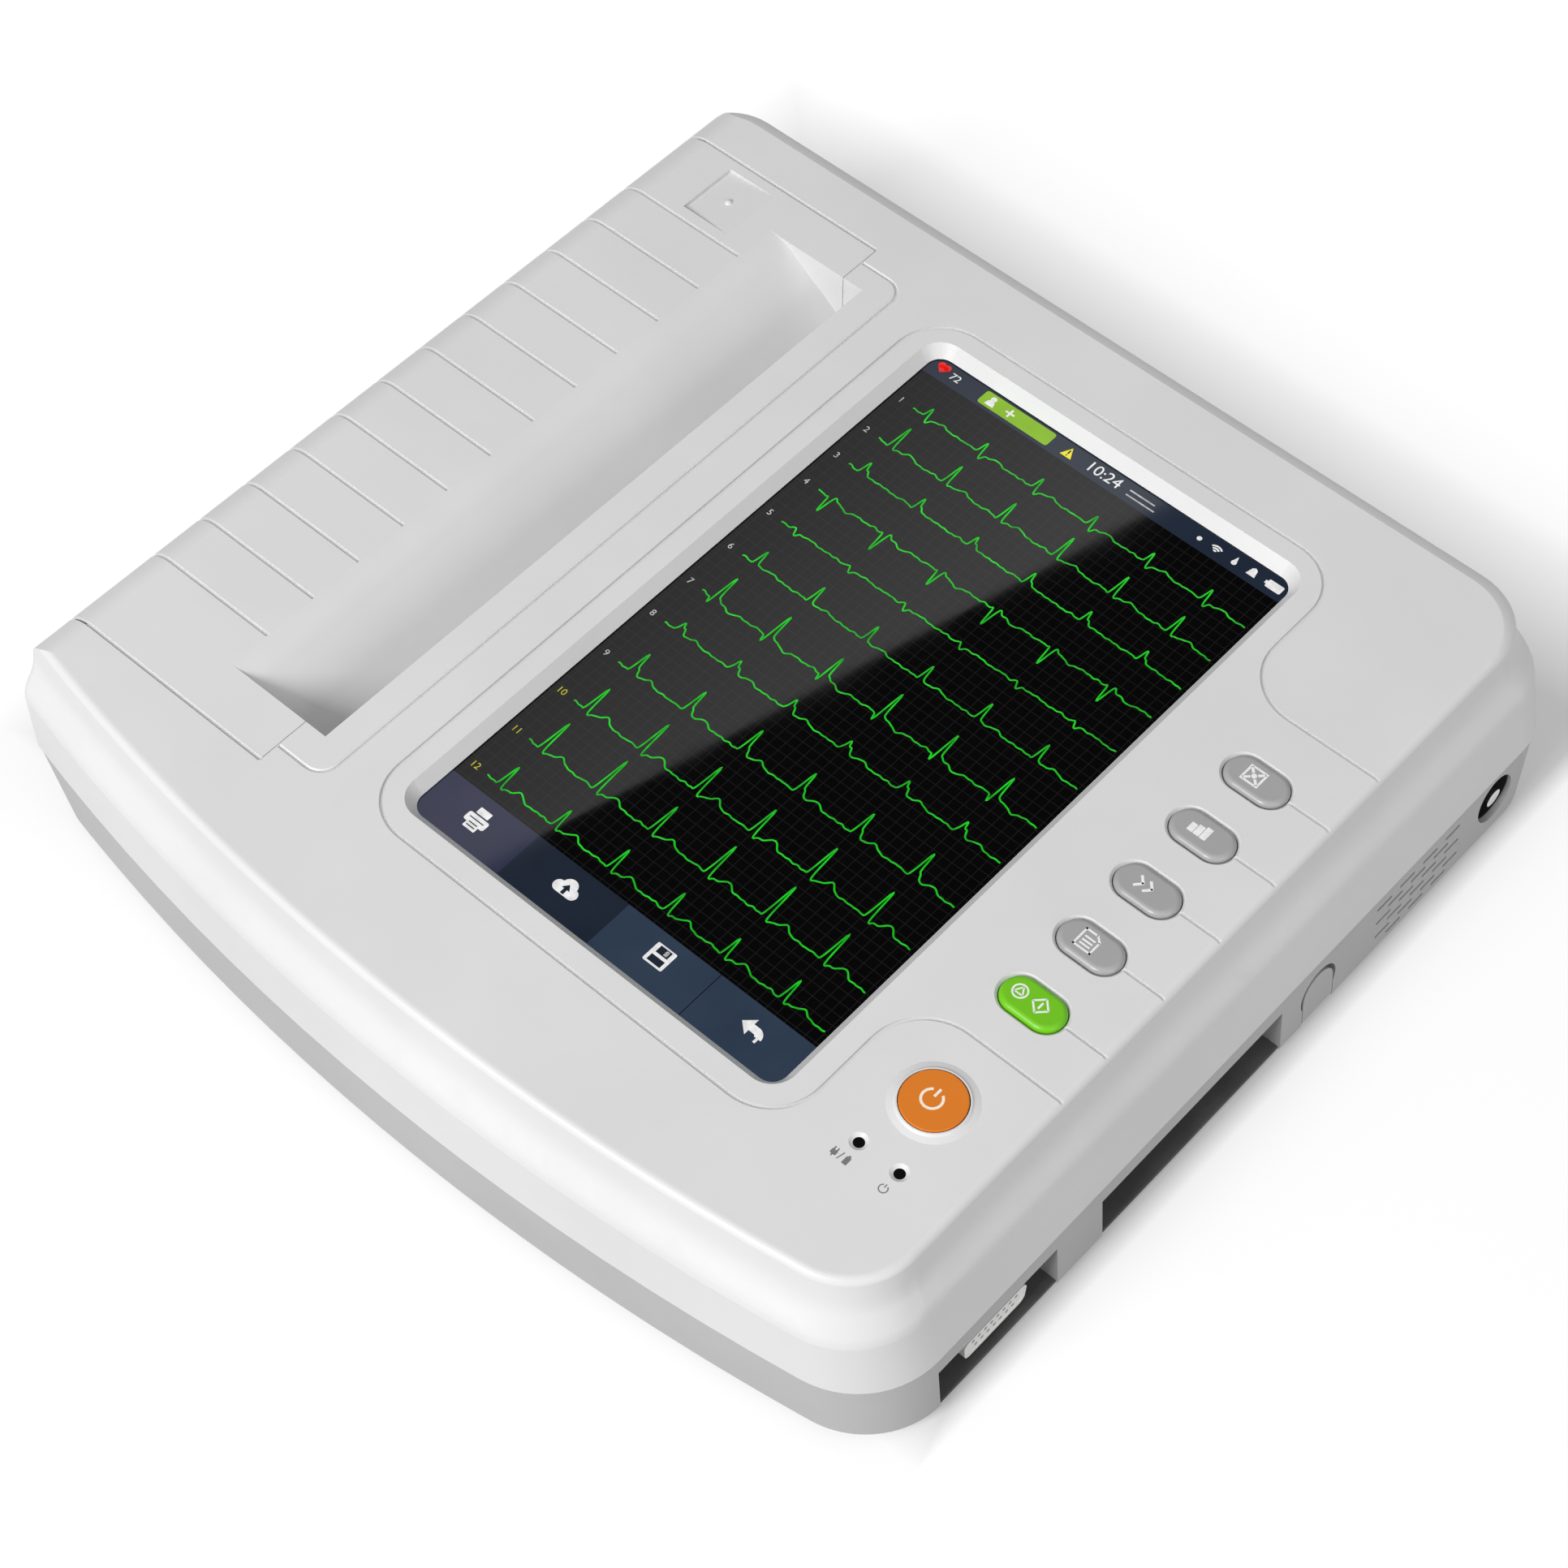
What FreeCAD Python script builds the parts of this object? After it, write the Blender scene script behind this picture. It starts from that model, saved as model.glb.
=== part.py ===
import FreeCAD, Part
import math
import os

# Desktop twelve-lead ECG recorder with a paper printer on the left and a display on the right.
# Millimetres. X is the user's right, Y the rear, Z up. The origin is on the table under the case's middle.
V = FreeCAD.Vector
UP = V(0, 0, 1)
ALONG_X = V(1, 0, 0)
ALONG_Y = V(0, 1, 0)

# Case
foot_height = 2.5
base_height = 24.0
cover_height = 43.0
wall = 2.5
front_bow_radius = 770.0
front_bow_x = -2.0
side_flare = 9.9
front_flare = 7.1
fold_corner = 22.0
skirt_corner = 28.0
skirt_rear_corner = 17.5
fold_round = 2.5
shoulder_radius = 11.0
base_inset = 0.4
base_front_draft = 0.8
base_rear_draft = 0.4
base_side_lean = 2.2
base_left_corner = 20.0
base_rear_corner = 24.0
cover_left_front = 3.0
cover_left_rear = 17.0
base_edge_round = 0.8
# Rounded fold round the top face, with its run at the rear, and the neck under it: how deep each section
# lies, how far it stands out from the fold at the front and the right, and how far in from the foot of the
# rear wall
fold_steps = 6
fold_rear_run = 4.9
neck_depths = (fold_round, 6.0, 11.0, 14.5, 17.5, 19.5, 21.5)
neck_flares = (0.1, 0.5, 1.5, 3.3, 5.5, 6.4, 6.8)
neck_rears = (4.6, 3.9, 3.0, 2.4, 1.9, 1.7, 1.5)
# Section of the neck below which the rear wall is hollowed out
hollow_level = 1

# General fits
seam_gap = 0.5
slide_gap = 0.3
running_gap = 0.05

# Case fasteners and feet
boss_radius = 4.0
screw_radius = 1.5
screw_head_radius = 2.8
screw_head_height = 2.0
screw_length = 30.0
boss_left_side = 29.0
boss_side_gap = 3.0
boss_corner_inset = 39.0
boss_front_inset = 17.0
boss_left_inset = 28.0
boss_rear_inset = 18.0
boss_middle_gap = 21.5
foot_radius = 8.0
foot_stem_radius = 3.0
foot_inset_x = 45.0
foot_inset_y = 58.0

# Printer lid and paper exit
printer_offset = 0.4
paper_width = 216.0
trough_side_room = 3.0
trough_width = 46.3
exit_frame_inset = 96.5
exit_rail = 9.2
exit_reach = 17.0
lid_front_margin = 16.7
lid_rear_margin = 15.1
exit_front_margin = 10.2
exit_rear_margin = 8.3
exit_corner = 6.0
exit_edge = 0.4
exit_wall_depth = 23.0
exit_wall_thickness = 2.0
exit_flange = 6.0
exit_flange_thickness = 2.0
paper_slot = 6.3
ramp_round = 14.0
ramp_slope = 37.0
lid_groove_count = 12
lid_groove_pitch = 17.65
lid_groove_first = 14.2
lid_groove_width = 1.4
lid_groove_depth = 0.6
lid_groove_drop = 18.0
thumb_length = 17.8
thumb_width = 21.3
thumb_depth = 1.2
thumb_left_inset = 23.7
thumb_rear_inset = 3.8
thumb_dot_radius = 1.3
hinge_bead = 3.0
hinge_pin_radius = 1.5
hinge_pin_reach = 8.0
well_wall = 2.0
tear_bar_height = 5.0
tear_bar_thickness = 0.8

# Platen, gears and feed motor
platen_reach = 22.0
platen_rise = 7.5
platen_radius = 8.0
platen_shaft_radius = 3.0
bush_radius = 4.0
ear_radius = 5.0
gear_module = 1.0
gear_backlash = 0.3
gear_width = 4.0
gear_addendum = 0.8
gear_dedendum = 1.15
platen_teeth = 20
near_idler_teeth = 12
far_idler_teeth = 16
pinion_teeth = 12
train_tilt = 5.0
axle_radius = 1.5
motor_radius = 13.0
motor_length = 20.0
motor_bore_depth = 10.0
chassis_sheet = 1.5
side_gap = 1.0
chassis_ahead = 7.5
chassis_below = 5.0
chassis_above = 8.0

# Thermal head
paper_gap = 0.3
head_thickness = 1.2
head_height = 14.0
head_below = 7.0
sink_thickness = 8.0
leaf_span = 15.0
leaf_thickness = 0.7
leaf_room = 5.5
leaf_height = 9.0
leaf_count = 3
trunnion_radius = 2.0

# Paper roll and tray
roll_inset = 31.0
roll_floor_gap = 2.0
roll_radius = 22.0
core_radius = 9.0
spindle_radius = 6.0
journal_radius = 3.0
tray_wall = 2.0
tray_side_room = 2.5
tray_cradle_gap = 1.5
tray_cradle_height = 9.0
tray_end_height = 31.0
tray_left_inset = 7.0
tray_right_inset = 63.0

# Display
screen_left_gap = 22.1
screen_right_inset = 59.5
screen_front_inset = 54.6
screen_rear_inset = 41.7
screen_x_size = 132.0
screen_y_size = 220.0
screen_corner = 5.0
bevel_width = 3.0
bevel_depth = 4.0
bevel_corner = 8.0
rim_width = 6.0
gasket_thickness = 0.5
glass_margin = 4.0
glass_thickness = 1.6
panel_side_margin = 9.0
panel_end_margin = 5.0
panel_thickness = 4.5
bracket_sheet = 1.2
bracket_tab = 10.0
bracket_post_inset = 15.0
bracket_post_radius = 3.5

# Shallow lines moulded in the top face
line_width = 1.2
line_depth = 0.7
line_left_margin = 10.1
line_front_margin = 10.95
line_rear_margin = 10.15
line_right_margin = 10.9
line_corner = 17.0
tab_front_margin = 18.45
tab_rear_margin = 22.75

# Keys, power button and indicators
key_inset = 25.1
key_pitch = 23.65
key_first_offset = 46.4
key_length = 20.0
key_width = 11.6
key_rise = 0.9
key_round = 1.6
key_rim = 0.8
key_flange = 1.5
key_flange_thickness = 1.0
key_travel = 0.8
key_names = ("lead_key", "gain_key", "speed_key", "report_key", "start_key")
power_front_inset = 76.8
power_radius = 9.1
power_rise = 1.3
power_round = 0.3
# Raised ring round the power button: how far out from its hole each step stands, and how high
power_mound = ((2.8, 0.0), (1.0, 0.5), (0.4, 1.0))
indicator_front_inset = 55.8
indicator_spread = 13.5
indicator_radius = 1.6
indicator_sink = 1.1
indicator_sink_depth = 0.7
board_sheet = 1.6
key_board_drop = 10.5
key_board_margin = 8.0
key_board_half = 16.0
switch_side = 6.0
board_post_radius = 2.0

# Right wall of the base
recess_top = 19.8
recess_depth = 12.0
side_panel_margin = 1.6
connector_share = -0.29766
connector_recess_width = 48.0
port_share = -0.03841
port_recess_width = 78.4
door_share = 0.1388
door_width = 13.6
door_thickness = 2.4
door_pocket_depth = 10.0
door_pin_radius = 0.6
door_pin_hold = 2.0
door_notch = 0.9
door_notch_rise = 0.5
door_notch_depth = 3.0
grille_share = 0.2858
grille_rows = 6
grille_columns = 4
grille_pitch_y = 10.85
grille_pitch_z = 3.08
grille_low = 5.2
slot_length = 6.8
slot_height = 1.0
speaker_length = 44.0
speaker_height = 17.0
speaker_depth = 9.0
earth_share = 0.40373
earth_height = 15.9
earth_recess_radius = 8.0
earth_recess_depth = 10.0
earth_pin_radius = 3.0
earth_pin_length = 8.6
earth_flange_radius = 5.0
earth_flange_thickness = 2.0

# Connectors
plug_length = 25.6
plug_height = 8.6
plug_depth = 12.0
plug_shell = 0.8
plug_lip = 0.3
plug_corner = 2.4
plug_slope = 10.0
plug_low = 8.2
plug_flange_margin = 1.1
plug_flange_thickness = 1.0
network_offset = -19.35
network_width = 16.0
network_height = 13.0
network_mouth_width = 12.0
network_mouth_height = 8.0
usb_offsets = (4.65, 24.65)
usb_width = 14.4
usb_height = 7.2
usb_mouth_width = 12.4
usb_mouth_height = 4.8
socket_depth = 14.0
socket_floor = 3.0
inlet_inset = 90.0
inlet_width = 27.0
inlet_height = 19.0
inlet_depth = 20.0
inlet_mouth_width = 23.4
inlet_mouth_height = 15.4
inlet_mouth_depth = 15.0
inlet_pin_length = 9.0
inlet_pin_side = 3.0
inlet_pin_spread = 7.0

# Boards, supply and battery
board_height = 30.0
board_left_gap = 25.5
board_right_gap = 27.0
board_front_inset = 58.15
board_rear_inset = 48.15
board_post_inset = 4.0
shield_x = 60.0
shield_y = 50.0
shield_height = 6.0
supply_inset = 75.0
supply_width = 85.0
supply_length = 75.0
supply_gap = 7.35
supply_height = 18.0
battery_inset = 105.0
battery_gap = 16.0
battery_x_size = 88.0
battery_y_size = 98.0
battery_height = 16.0
bay_gap = 0.6
door_ear = 4.0

# Places worked out from the sizes above
case_width = exit_frame_inset + screen_left_gap + screen_x_size + screen_right_inset + side_flare
case_depth = screen_front_inset + screen_y_size + screen_rear_inset
left = -case_width / 2
right = case_width / 2
front = -case_depth / 2
rear = case_depth / 2
z_base = foot_height
z_floor = z_base + wall
z_part = z_base + base_height
z_top = z_part + cover_height
z_under = z_top - wall
fold_right = right - side_flare
ridge_depth = neck_depths[-1]
base_right = right - base_inset
base_foot = base_right + base_side_lean
base_rear = rear - base_inset
recess_back = base_right - recess_depth
side_face = recess_back - socket_depth - side_panel_margin
connector_recess_y = connector_share * case_depth
port_recess_y = port_share * case_depth
door_y = door_share * case_depth
grille_y = grille_share * case_depth
earth_y = earth_share * case_depth
# Plane between the two panels of the right side, half way from the port recess to the side door
panel_split = (port_recess_y + port_recess_width / 2 + door_y - door_width / 2) / 2
network_y = port_recess_y + network_offset
usb_y = [port_recess_y + offset for offset in usb_offsets]

screen_y = front + screen_front_inset + screen_y_size / 2
printer_y = screen_y + printer_offset
trough_front = printer_y - paper_width / 2 - trough_side_room
trough_rear = printer_y + paper_width / 2 + trough_side_room
exit_right = left + exit_frame_inset
exit_wall = exit_right - exit_rail
trough_left = exit_right - trough_width
exit_front = trough_front - exit_front_margin
exit_rear = trough_rear + exit_rear_margin
lid_right = exit_right - exit_reach
lid_front = trough_front - lid_front_margin
lid_rear = trough_rear + lid_rear_margin
hinge_x = left + hinge_bead
hinge_z = z_part + seam_gap + hinge_bead
ramp_tip = exit_wall - paper_slot
ramp_sin = math.sin(math.radians(ramp_slope))
ramp_cos = math.cos(math.radians(ramp_slope))
ramp_run = (ramp_tip - trough_left - ramp_round * ramp_sin) / ramp_cos
ramp_drop = ramp_round * (1 - ramp_cos) + ramp_run * ramp_sin

platen_x = exit_right - platen_reach
platen_height = z_part + platen_rise
head_low = platen_height - head_below
chassis_low = platen_height - chassis_below
chassis_high = platen_height + chassis_above
paper_front = printer_y - paper_width / 2
paper_rear = printer_y + paper_width / 2
ear_front = trough_front - wall
ear_rear = trough_rear + wall
plate_front = ear_front - side_gap
plate_rear = ear_rear + side_gap
gear_rear = plate_front - chassis_sheet - side_gap
gear_front = gear_rear - gear_width
head_face = platen_x + platen_radius + paper_gap
sink_face = head_face + head_thickness
leaf_face = sink_face + sink_thickness
back_plate = leaf_face + leaf_room
chassis_left = platen_x - chassis_ahead
roll_x = left + roll_inset
roll_height = z_floor + roll_floor_gap + roll_radius
tray_front = paper_front - tray_side_room - tray_wall
tray_rear = paper_rear + tray_side_room + tray_wall

screen_x = fold_right - screen_right_inset - screen_x_size / 2
glass_x_size = screen_x_size + 2 * glass_margin
glass_y_size = screen_y_size + 2 * glass_margin
panel_x_size = screen_x_size + 2 * panel_side_margin
panel_y_size = screen_y_size + 2 * panel_end_margin
z_rim = z_top - bevel_depth
z_glass = z_rim - gasket_thickness
z_panel = z_glass - glass_thickness
z_bracket = z_panel - panel_thickness
key_x = fold_right - key_inset
key_ys = [screen_y + key_first_offset - key_pitch * i for i in range(len(key_names))]
tab_front = key_ys[-1] - tab_front_margin
tab_rear = key_ys[0] + tab_rear_margin
power_y = front + power_front_inset
power_hole = power_radius + slide_gap
indicator_y = front + indicator_front_inset
z_flange = z_under - slide_gap
z_board = z_under - key_board_drop
z_switch = z_flange - key_flange_thickness - key_travel - slide_gap
key_board_rear = key_ys[0] + key_width / 2 + key_board_margin + board_post_radius
key_board_front = indicator_y - key_board_margin
boss_right = side_face - boss_side_gap - boss_radius
boss_middle = exit_right + boss_middle_gap
boss_left = left + boss_left_side
boss_places = [
    (boss_right, front + boss_corner_inset),
    (boss_right, rear - boss_rear_inset),
    (boss_middle, front + boss_front_inset),
    (boss_middle, rear - boss_rear_inset),
    (boss_left, front + boss_left_inset),
    (boss_left, rear - boss_rear_inset),
]
foot_places = [(sx * (right - foot_inset_x), sy * (rear - foot_inset_y)) for sx in (-1, 1) for sy in (-1, 1)]
inlet_x = right - inlet_inset
inlet_face = base_rear - base_rear_draft
supply_right = right - supply_inset
supply_rear = inlet_face - inlet_depth - supply_gap
supply_front = supply_rear - supply_length
battery_x = right - battery_inset
battery_y = supply_front - battery_gap - battery_y_size / 2
board_left = exit_right + board_left_gap
board_right = key_x - board_right_gap
board_front = front + board_front_inset
board_rear = rear - board_rear_inset
board_posts = [(x, y) for x in (board_left + board_post_inset, board_right - board_post_inset)
               for y in (board_front + board_post_inset, board_rear - board_post_inset)]
bracket_reach_x = panel_x_size / 2 - bracket_post_inset
bracket_reach_y = (panel_y_size + bracket_tab) / 2
bracket_posts = [(screen_x + sx * bracket_reach_x, screen_y + sy * bracket_reach_y)
                 for sx in (-1, 1) for sy in (-1, 1)]
key_board_posts = [(key_x + sx * (key_board_half - board_post_radius), y) for sx in (-1, 1)
                   for y in (key_board_rear - board_post_radius, (power_y + key_ys[-1]) / 2)]
door_screws = [(battery_x + s * (battery_x_size / 2 + bay_gap + wall), battery_y) for s in (-1, 1)]


def box(x0, x1, y0, y1, z0, z1):
    return Part.makeBox(x1 - x0, y1 - y0, z1 - z0, V(x0, y0, z0))


def upright(x, y, radius, z0, z1):
    return Part.makeCylinder(radius, z1 - z0, V(x, y, z0), UP)


def rod(x, z, radius, y0, y1):
    return Part.makeCylinder(radius, y1 - y0, V(x, y0, z), ALONG_Y)


def tube(x, z, radius, bore, y0, y1):
    return rod(x, z, radius, y0, y1).cut(rod(x, z, bore, y0, y1))


def join(*shapes):
    return shapes[0].multiFuse(list(shapes[1:])).removeSplitter()


def arc(a, middle, b):
    return Part.Arc(a, middle, b).toShape()


def line(a, b):
    return Part.LineSegment(a, b).toShape()


def rounded(corners, z):
    """Closed flat wire through (x, y, radius) corners, each rounded by a tangent arc."""
    points = [V(x, y, z) for x, y, r in corners]
    ends = []
    edges = []
    for i, (x, y, r) in enumerate(corners):
        p = points[i]
        back = (points[i - 1] - p).normalize()
        ahead = (points[(i + 1) % len(points)] - p).normalize()
        half = back.getAngle(ahead) / 2
        reach = r / math.tan(half) if r else 0
        a = p + back * reach
        b = p + ahead * reach
        if r:
            inward = (back + ahead).normalize()
            edges.append(arc(a, p + inward * (r / math.sin(half) - r), b))
        ends.append((a, b, len(edges)))
    whole = []
    for i, (a, b, n) in enumerate(ends):
        if corners[i][2]:
            whole.append(edges[n - 1])
        after = ends[(i + 1) % len(ends)][0]
        if (after - b).Length > 1e-6:
            whole.append(line(b, after))
    return Part.Wire(whole)


def round_rect(x, y, x_size, y_size, radius, z):
    a = x_size / 2
    b = y_size / 2
    places = ((x - a, y - b), (x + a, y - b), (x + a, y + b), (x - a, y + b))
    return rounded([(px, py, radius) for px, py in places], z)


def plate(wire, thickness):
    return Part.Face(wire).extrude(V(0, 0, thickness))


def pill(x, y, length, width, z0, z1):
    a = (length - width) / 2
    middle = box(x - a, x + a, y - width / 2, y + width / 2, z0, z1)
    return join(middle, upright(x - a, y, width / 2, z0, z1), upright(x + a, y, width / 2, z0, z1))


def slab(edges, y0, y1):
    """Extrude a closed outline drawn in the XZ plane at y = 0."""
    solid = Part.Face(Part.Wire(edges)).extrude(V(0, y1 - y0, 0))
    solid.translate(V(0, y0, 0))
    return solid


def side_polygon(points, y0, y1):
    corners = [V(x, 0, z) for x, z in points]
    return slab([line(corners[i - 1], corners[i]) for i in range(len(corners))], y0, y1)


def outline(side, ahead, behind, corner, rear_corner, z, left_side, left_front, left_rear):
    """Case outline set in from the cover's widest line, with its own round for each corner."""
    x0 = left + left_side
    x1 = right - side
    y1 = rear - behind
    bow = front_bow_radius - ahead
    middle = V(front_bow_x, front + front_bow_radius, z)
    turn = V(x1 - corner, middle.y - math.sqrt((bow - corner) ** 2 - (x1 - corner - middle.x) ** 2), z)
    bow_end = middle + (turn - middle).normalize() * bow
    apex = V(middle.x, middle.y - bow, z)
    side_start = V(x1, turn.y, z)
    diagonal = rear_corner * math.sqrt(0.5)
    rear_turn = V(x1 - rear_corner, y1 - rear_corner, z)
    front_mid = turn + ((bow_end - turn).normalize() + V(1, 0, 0)).normalize() * corner
    hub = V(x0 + left_rear, y1 - left_rear, z)
    slant = left_rear * math.sqrt(0.5)
    low_x = x0 + left_front
    low = V(low_x, middle.y - math.sqrt((bow - left_front) ** 2 - (low_x - middle.x) ** 2), z)
    bow_start = middle + (low - middle).normalize() * bow
    low_mid = low + ((bow_start - low).normalize() + V(-1, 0, 0)).normalize() * left_front
    return Part.Wire([
        arc(bow_end, front_mid, side_start),
        line(side_start, V(x1, rear_turn.y, z)),
        arc(V(x1, rear_turn.y, z), rear_turn + V(diagonal, diagonal, 0), V(rear_turn.x, y1, z)),
        line(V(rear_turn.x, y1, z), V(hub.x, y1, z)),
        arc(V(hub.x, y1, z), hub + V(-slant, slant, 0), V(x0, hub.y, z)),
        line(V(x0, hub.y, z), V(x0, low.y, z)),
        arc(V(x0, low.y, z), low_mid, bow_start),
        arc(bow_start, apex, bow_end),
    ])


def level(i, inset, z):
    """Outline of the cover at one section of the neck, set in by a wall."""
    flare = neck_flares[i]
    share = flare / side_flare
    corner = fold_corner + (skirt_corner - fold_corner) * share - inset
    rear_corner = fold_corner + (skirt_rear_corner - fold_corner) * share - inset
    return outline(side_flare - flare + inset, front_flare - flare + inset, neck_rears[i] + inset, corner,
                   rear_corner, z, inset, cover_left_front - inset, cover_left_rear - inset)


def fold_level(turn, inset, z):
    """Outline of the cover at one section of its fold, which turns from 0 at its top to 90 at the neck."""
    run = fold_round * (1 - math.sin(math.radians(turn))) - neck_flares[0] + inset
    behind = neck_rears[0] + fold_rear_run * math.cos(math.radians(turn)) ** 1.5 + inset
    corner = fold_corner - run
    return outline(side_flare + run, front_flare + run, behind, corner, corner, z,
                   inset, cover_left_front - inset, cover_left_rear - inset)


def fold_sections():
    turns = [90 * i / fold_steps for i in range(fold_steps)]
    sections = [fold_level(a, 0, z_top - fold_round * (1 - math.cos(math.radians(a)))) for a in turns]
    return sections + [level(0, 0, z_top - fold_round)]


def shoulder_block(inset, z0):
    """Everything right of the left wall and its rounded shoulder."""
    r = shoulder_radius - inset
    x0 = left + inset
    z1 = z_top - inset
    bend = V(x0 + r * (1 - math.sqrt(0.5)), 0, z1 - r * (1 - math.sqrt(0.5)))
    corners = [V(x0, 0, z0), V(x0, 0, z1 - r), V(x0 + r, 0, z1), V(right, 0, z1), V(right, 0, z0)]
    edges = [
        line(corners[0], corners[1]),
        arc(corners[1], bend, corners[2]),
        line(corners[2], corners[3]),
        line(corners[3], corners[4]),
        line(corners[4], corners[0]),
    ]
    return slab(edges, front, rear)


def cover_body():
    fold = Part.makeLoft(fold_sections(), True, True)
    neck = Part.makeLoft([level(i, 0, z_top - d) for i, d in enumerate(neck_depths)], True, False)
    foot = outline(0, 0, 0, skirt_corner, skirt_rear_corner, z_part, 0, cover_left_front, cover_left_rear)
    skirt = Part.makeLoft([level(-1, 0, z_top - ridge_depth), foot], True, True)
    body = join(fold, neck, skirt)
    body = body.common(shoulder_block(0, z_part))
    upper = plate(fold_level(0, wall, z_part), z_under - z_part)
    middle = plate(level(hollow_level, wall, z_part), cover_height - neck_depths[hollow_level] - wall)
    lower = plate(level(-1, wall, z_part), cover_height - ridge_depth)
    return body.cut(join(upper, middle, lower).common(shoulder_block(wall, z_part)))


def panel_line():
    """Shallow line round the display that opens out to the keys."""
    x0 = screen_x - screen_x_size / 2 - line_left_margin
    x1 = screen_x + screen_x_size / 2 + line_right_margin
    y0 = screen_y - screen_y_size / 2 - line_front_margin
    y1 = screen_y + screen_y_size / 2 + line_rear_margin
    r = line_corner
    corners = [
        (x0, y0, r), (x1, y0, r), (x1, tab_front, r), (right, tab_front, 0),
        (right, tab_rear, 0), (x1, tab_rear, r), (x1, y1, r), (x0, y1, r),
    ]
    outer = rounded(corners, z_top - line_depth)
    inner = outer.makeOffset2D(-line_width)
    return plate(outer, wall).cut(plate(inner, wall))


def key_rim_cut(y):
    """Sloping edge round a key hole."""
    length = key_length + 2 * slide_gap
    width = key_width + 2 * slide_gap
    low = round_rect(key_x, y, length, width, width / 2, z_top - key_rim)
    high = round_rect(key_x, y, length + 2 * key_rim, width + 2 * key_rim, width / 2 + key_rim, z_top)
    return Part.makeLoft([low, high], True, True)


def power_mound_steps():
    """Raised ring round the power button, steeper towards its top."""
    return [Part.makeCone(power_hole + low_run, power_hole + high_run, high - low,
                          V(key_x, power_y, z_top + low), UP)
            for (low_run, low), (high_run, high) in zip(power_mound, power_mound[1:])]


def top_cover():
    cover = cover_body()
    rim = plate(round_rect(screen_x, screen_y, screen_x_size + 2 * rim_width, screen_y_size + 2 * rim_width,
                           bevel_corner, z_rim), z_top - z_rim)
    walls = [box(left, exit_wall, y, y + well_wall, z_part, z_top).common(shoulder_block(wall / 2, z_part))
             for y in (lid_front - seam_gap - well_wall, lid_rear + seam_gap)]
    posts = [upright(x, y, boss_radius, z_part, z_under) for x, y in boss_places]
    posts += [upright(x, y, bracket_post_radius, z_bracket, z_under) for x, y in bracket_posts]
    posts += [upright(x, y, board_post_radius, z_board, z_under) for x, y in key_board_posts]
    cover = join(cover, rim, *walls, *posts, *power_mound_steps())
    bevel = Part.makeLoft([
        round_rect(screen_x, screen_y, screen_x_size, screen_y_size, screen_corner, z_rim),
        round_rect(screen_x, screen_y, screen_x_size + 2 * bevel_width, screen_y_size + 2 * bevel_width,
                   bevel_corner, z_top),
    ], True, True)
    cuts = [bevel, panel_line()]
    cuts.append(box(left - wall, lid_right + seam_gap, lid_front - seam_gap, lid_rear + seam_gap,
                    z_part, z_top + wall))
    cuts.append(plate(exit_outline(seam_gap, z_under), 2 * wall))
    cuts.append(Part.makeLoft([exit_outline(seam_gap, z_top - exit_edge),
                               exit_outline(seam_gap + exit_edge, z_top)], True, True))
    cuts += lid_seam_lines()
    for y in key_ys:
        cuts.append(pill(key_x, y, key_length + 2 * slide_gap, key_width + 2 * slide_gap, z_under, z_top))
        cuts.append(key_rim_cut(y))
        cuts.append(box(key_x + key_length / 2, right, y - line_width / 2, y + line_width / 2,
                        z_top - line_depth, z_top))
    cuts.append(upright(key_x, power_y, power_hole, z_under, z_top + power_rise))
    for s in (-1, 1):
        x = key_x + s * indicator_spread / 2
        cuts.append(upright(x, indicator_y, indicator_radius, z_under, z_top))
        cuts.append(Part.makeCone(indicator_radius, indicator_radius + indicator_sink, indicator_sink_depth,
                                  V(x, indicator_y, z_top - indicator_sink_depth), UP))
    for x, y in boss_places:
        cuts.append(upright(x, y, screw_radius, z_part, z_part + screw_length))
    for y0, y1 in hinge_spans():
        cuts.append(rod(hinge_x, hinge_z, hinge_pin_radius, y0, y1))
    return cover.cut(cuts)


def exit_outline(gap, z):
    """Outline of the paper exit frame without the paper gap, grown by a gap."""
    x0 = lid_right - gap
    x1 = exit_right + gap
    r = exit_corner + gap
    return rounded([(x0, exit_front - gap, 0), (x1, exit_front - gap, r), (x1, exit_rear + gap, r),
                    (x0, exit_rear + gap, 0)], z)


def exit_frame():
    face = plate(exit_outline(0, z_under), wall - exit_edge)
    face = join(face, Part.makeLoft([exit_outline(0, z_top - exit_edge), exit_outline(-exit_edge, z_top)],
                                    True, True))
    face = face.cut(box(lid_right, lid_right + seam_gap, front, rear, z_base, z_top))
    face = face.cut(box(lid_right, exit_wall, trough_front, trough_rear, z_base, z_top))
    x1 = exit_wall + exit_wall_thickness
    z0 = z_top - exit_wall_depth
    guide = box(exit_wall, x1, trough_front, trough_rear, z0, z_under)
    flange = box(exit_wall, exit_right + exit_flange, trough_front, trough_rear,
                 z_under - exit_flange_thickness, z_under)
    ends = [box(lid_right + seam_gap, x1, y, y + exit_wall_thickness, z0, z_under)
            for y in (trough_front - exit_wall_thickness, trough_rear)]
    return join(face, guide, flange, *ends)


def tear_bar():
    z0 = z_top - exit_wall_depth
    x0 = exit_wall - tear_bar_thickness
    points = [(exit_wall, z0), (exit_wall, z0 + tear_bar_height), (x0, z0 + tear_bar_height / 2), (x0, z0)]
    return side_polygon(points, paper_front, paper_rear)


def hinge_spans():
    """Ends of the two lid hinge pins along Y: through the well wall and into the lid."""
    return [(lid_front - seam_gap - well_wall, lid_front + hinge_pin_reach),
            (lid_rear - hinge_pin_reach, lid_rear + seam_gap + well_wall)]


def lid_hinge_pins():
    return Part.makeCompound([rod(hinge_x, hinge_z, hinge_pin_radius, y0, y1) for y0, y1 in hinge_spans()])


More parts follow.
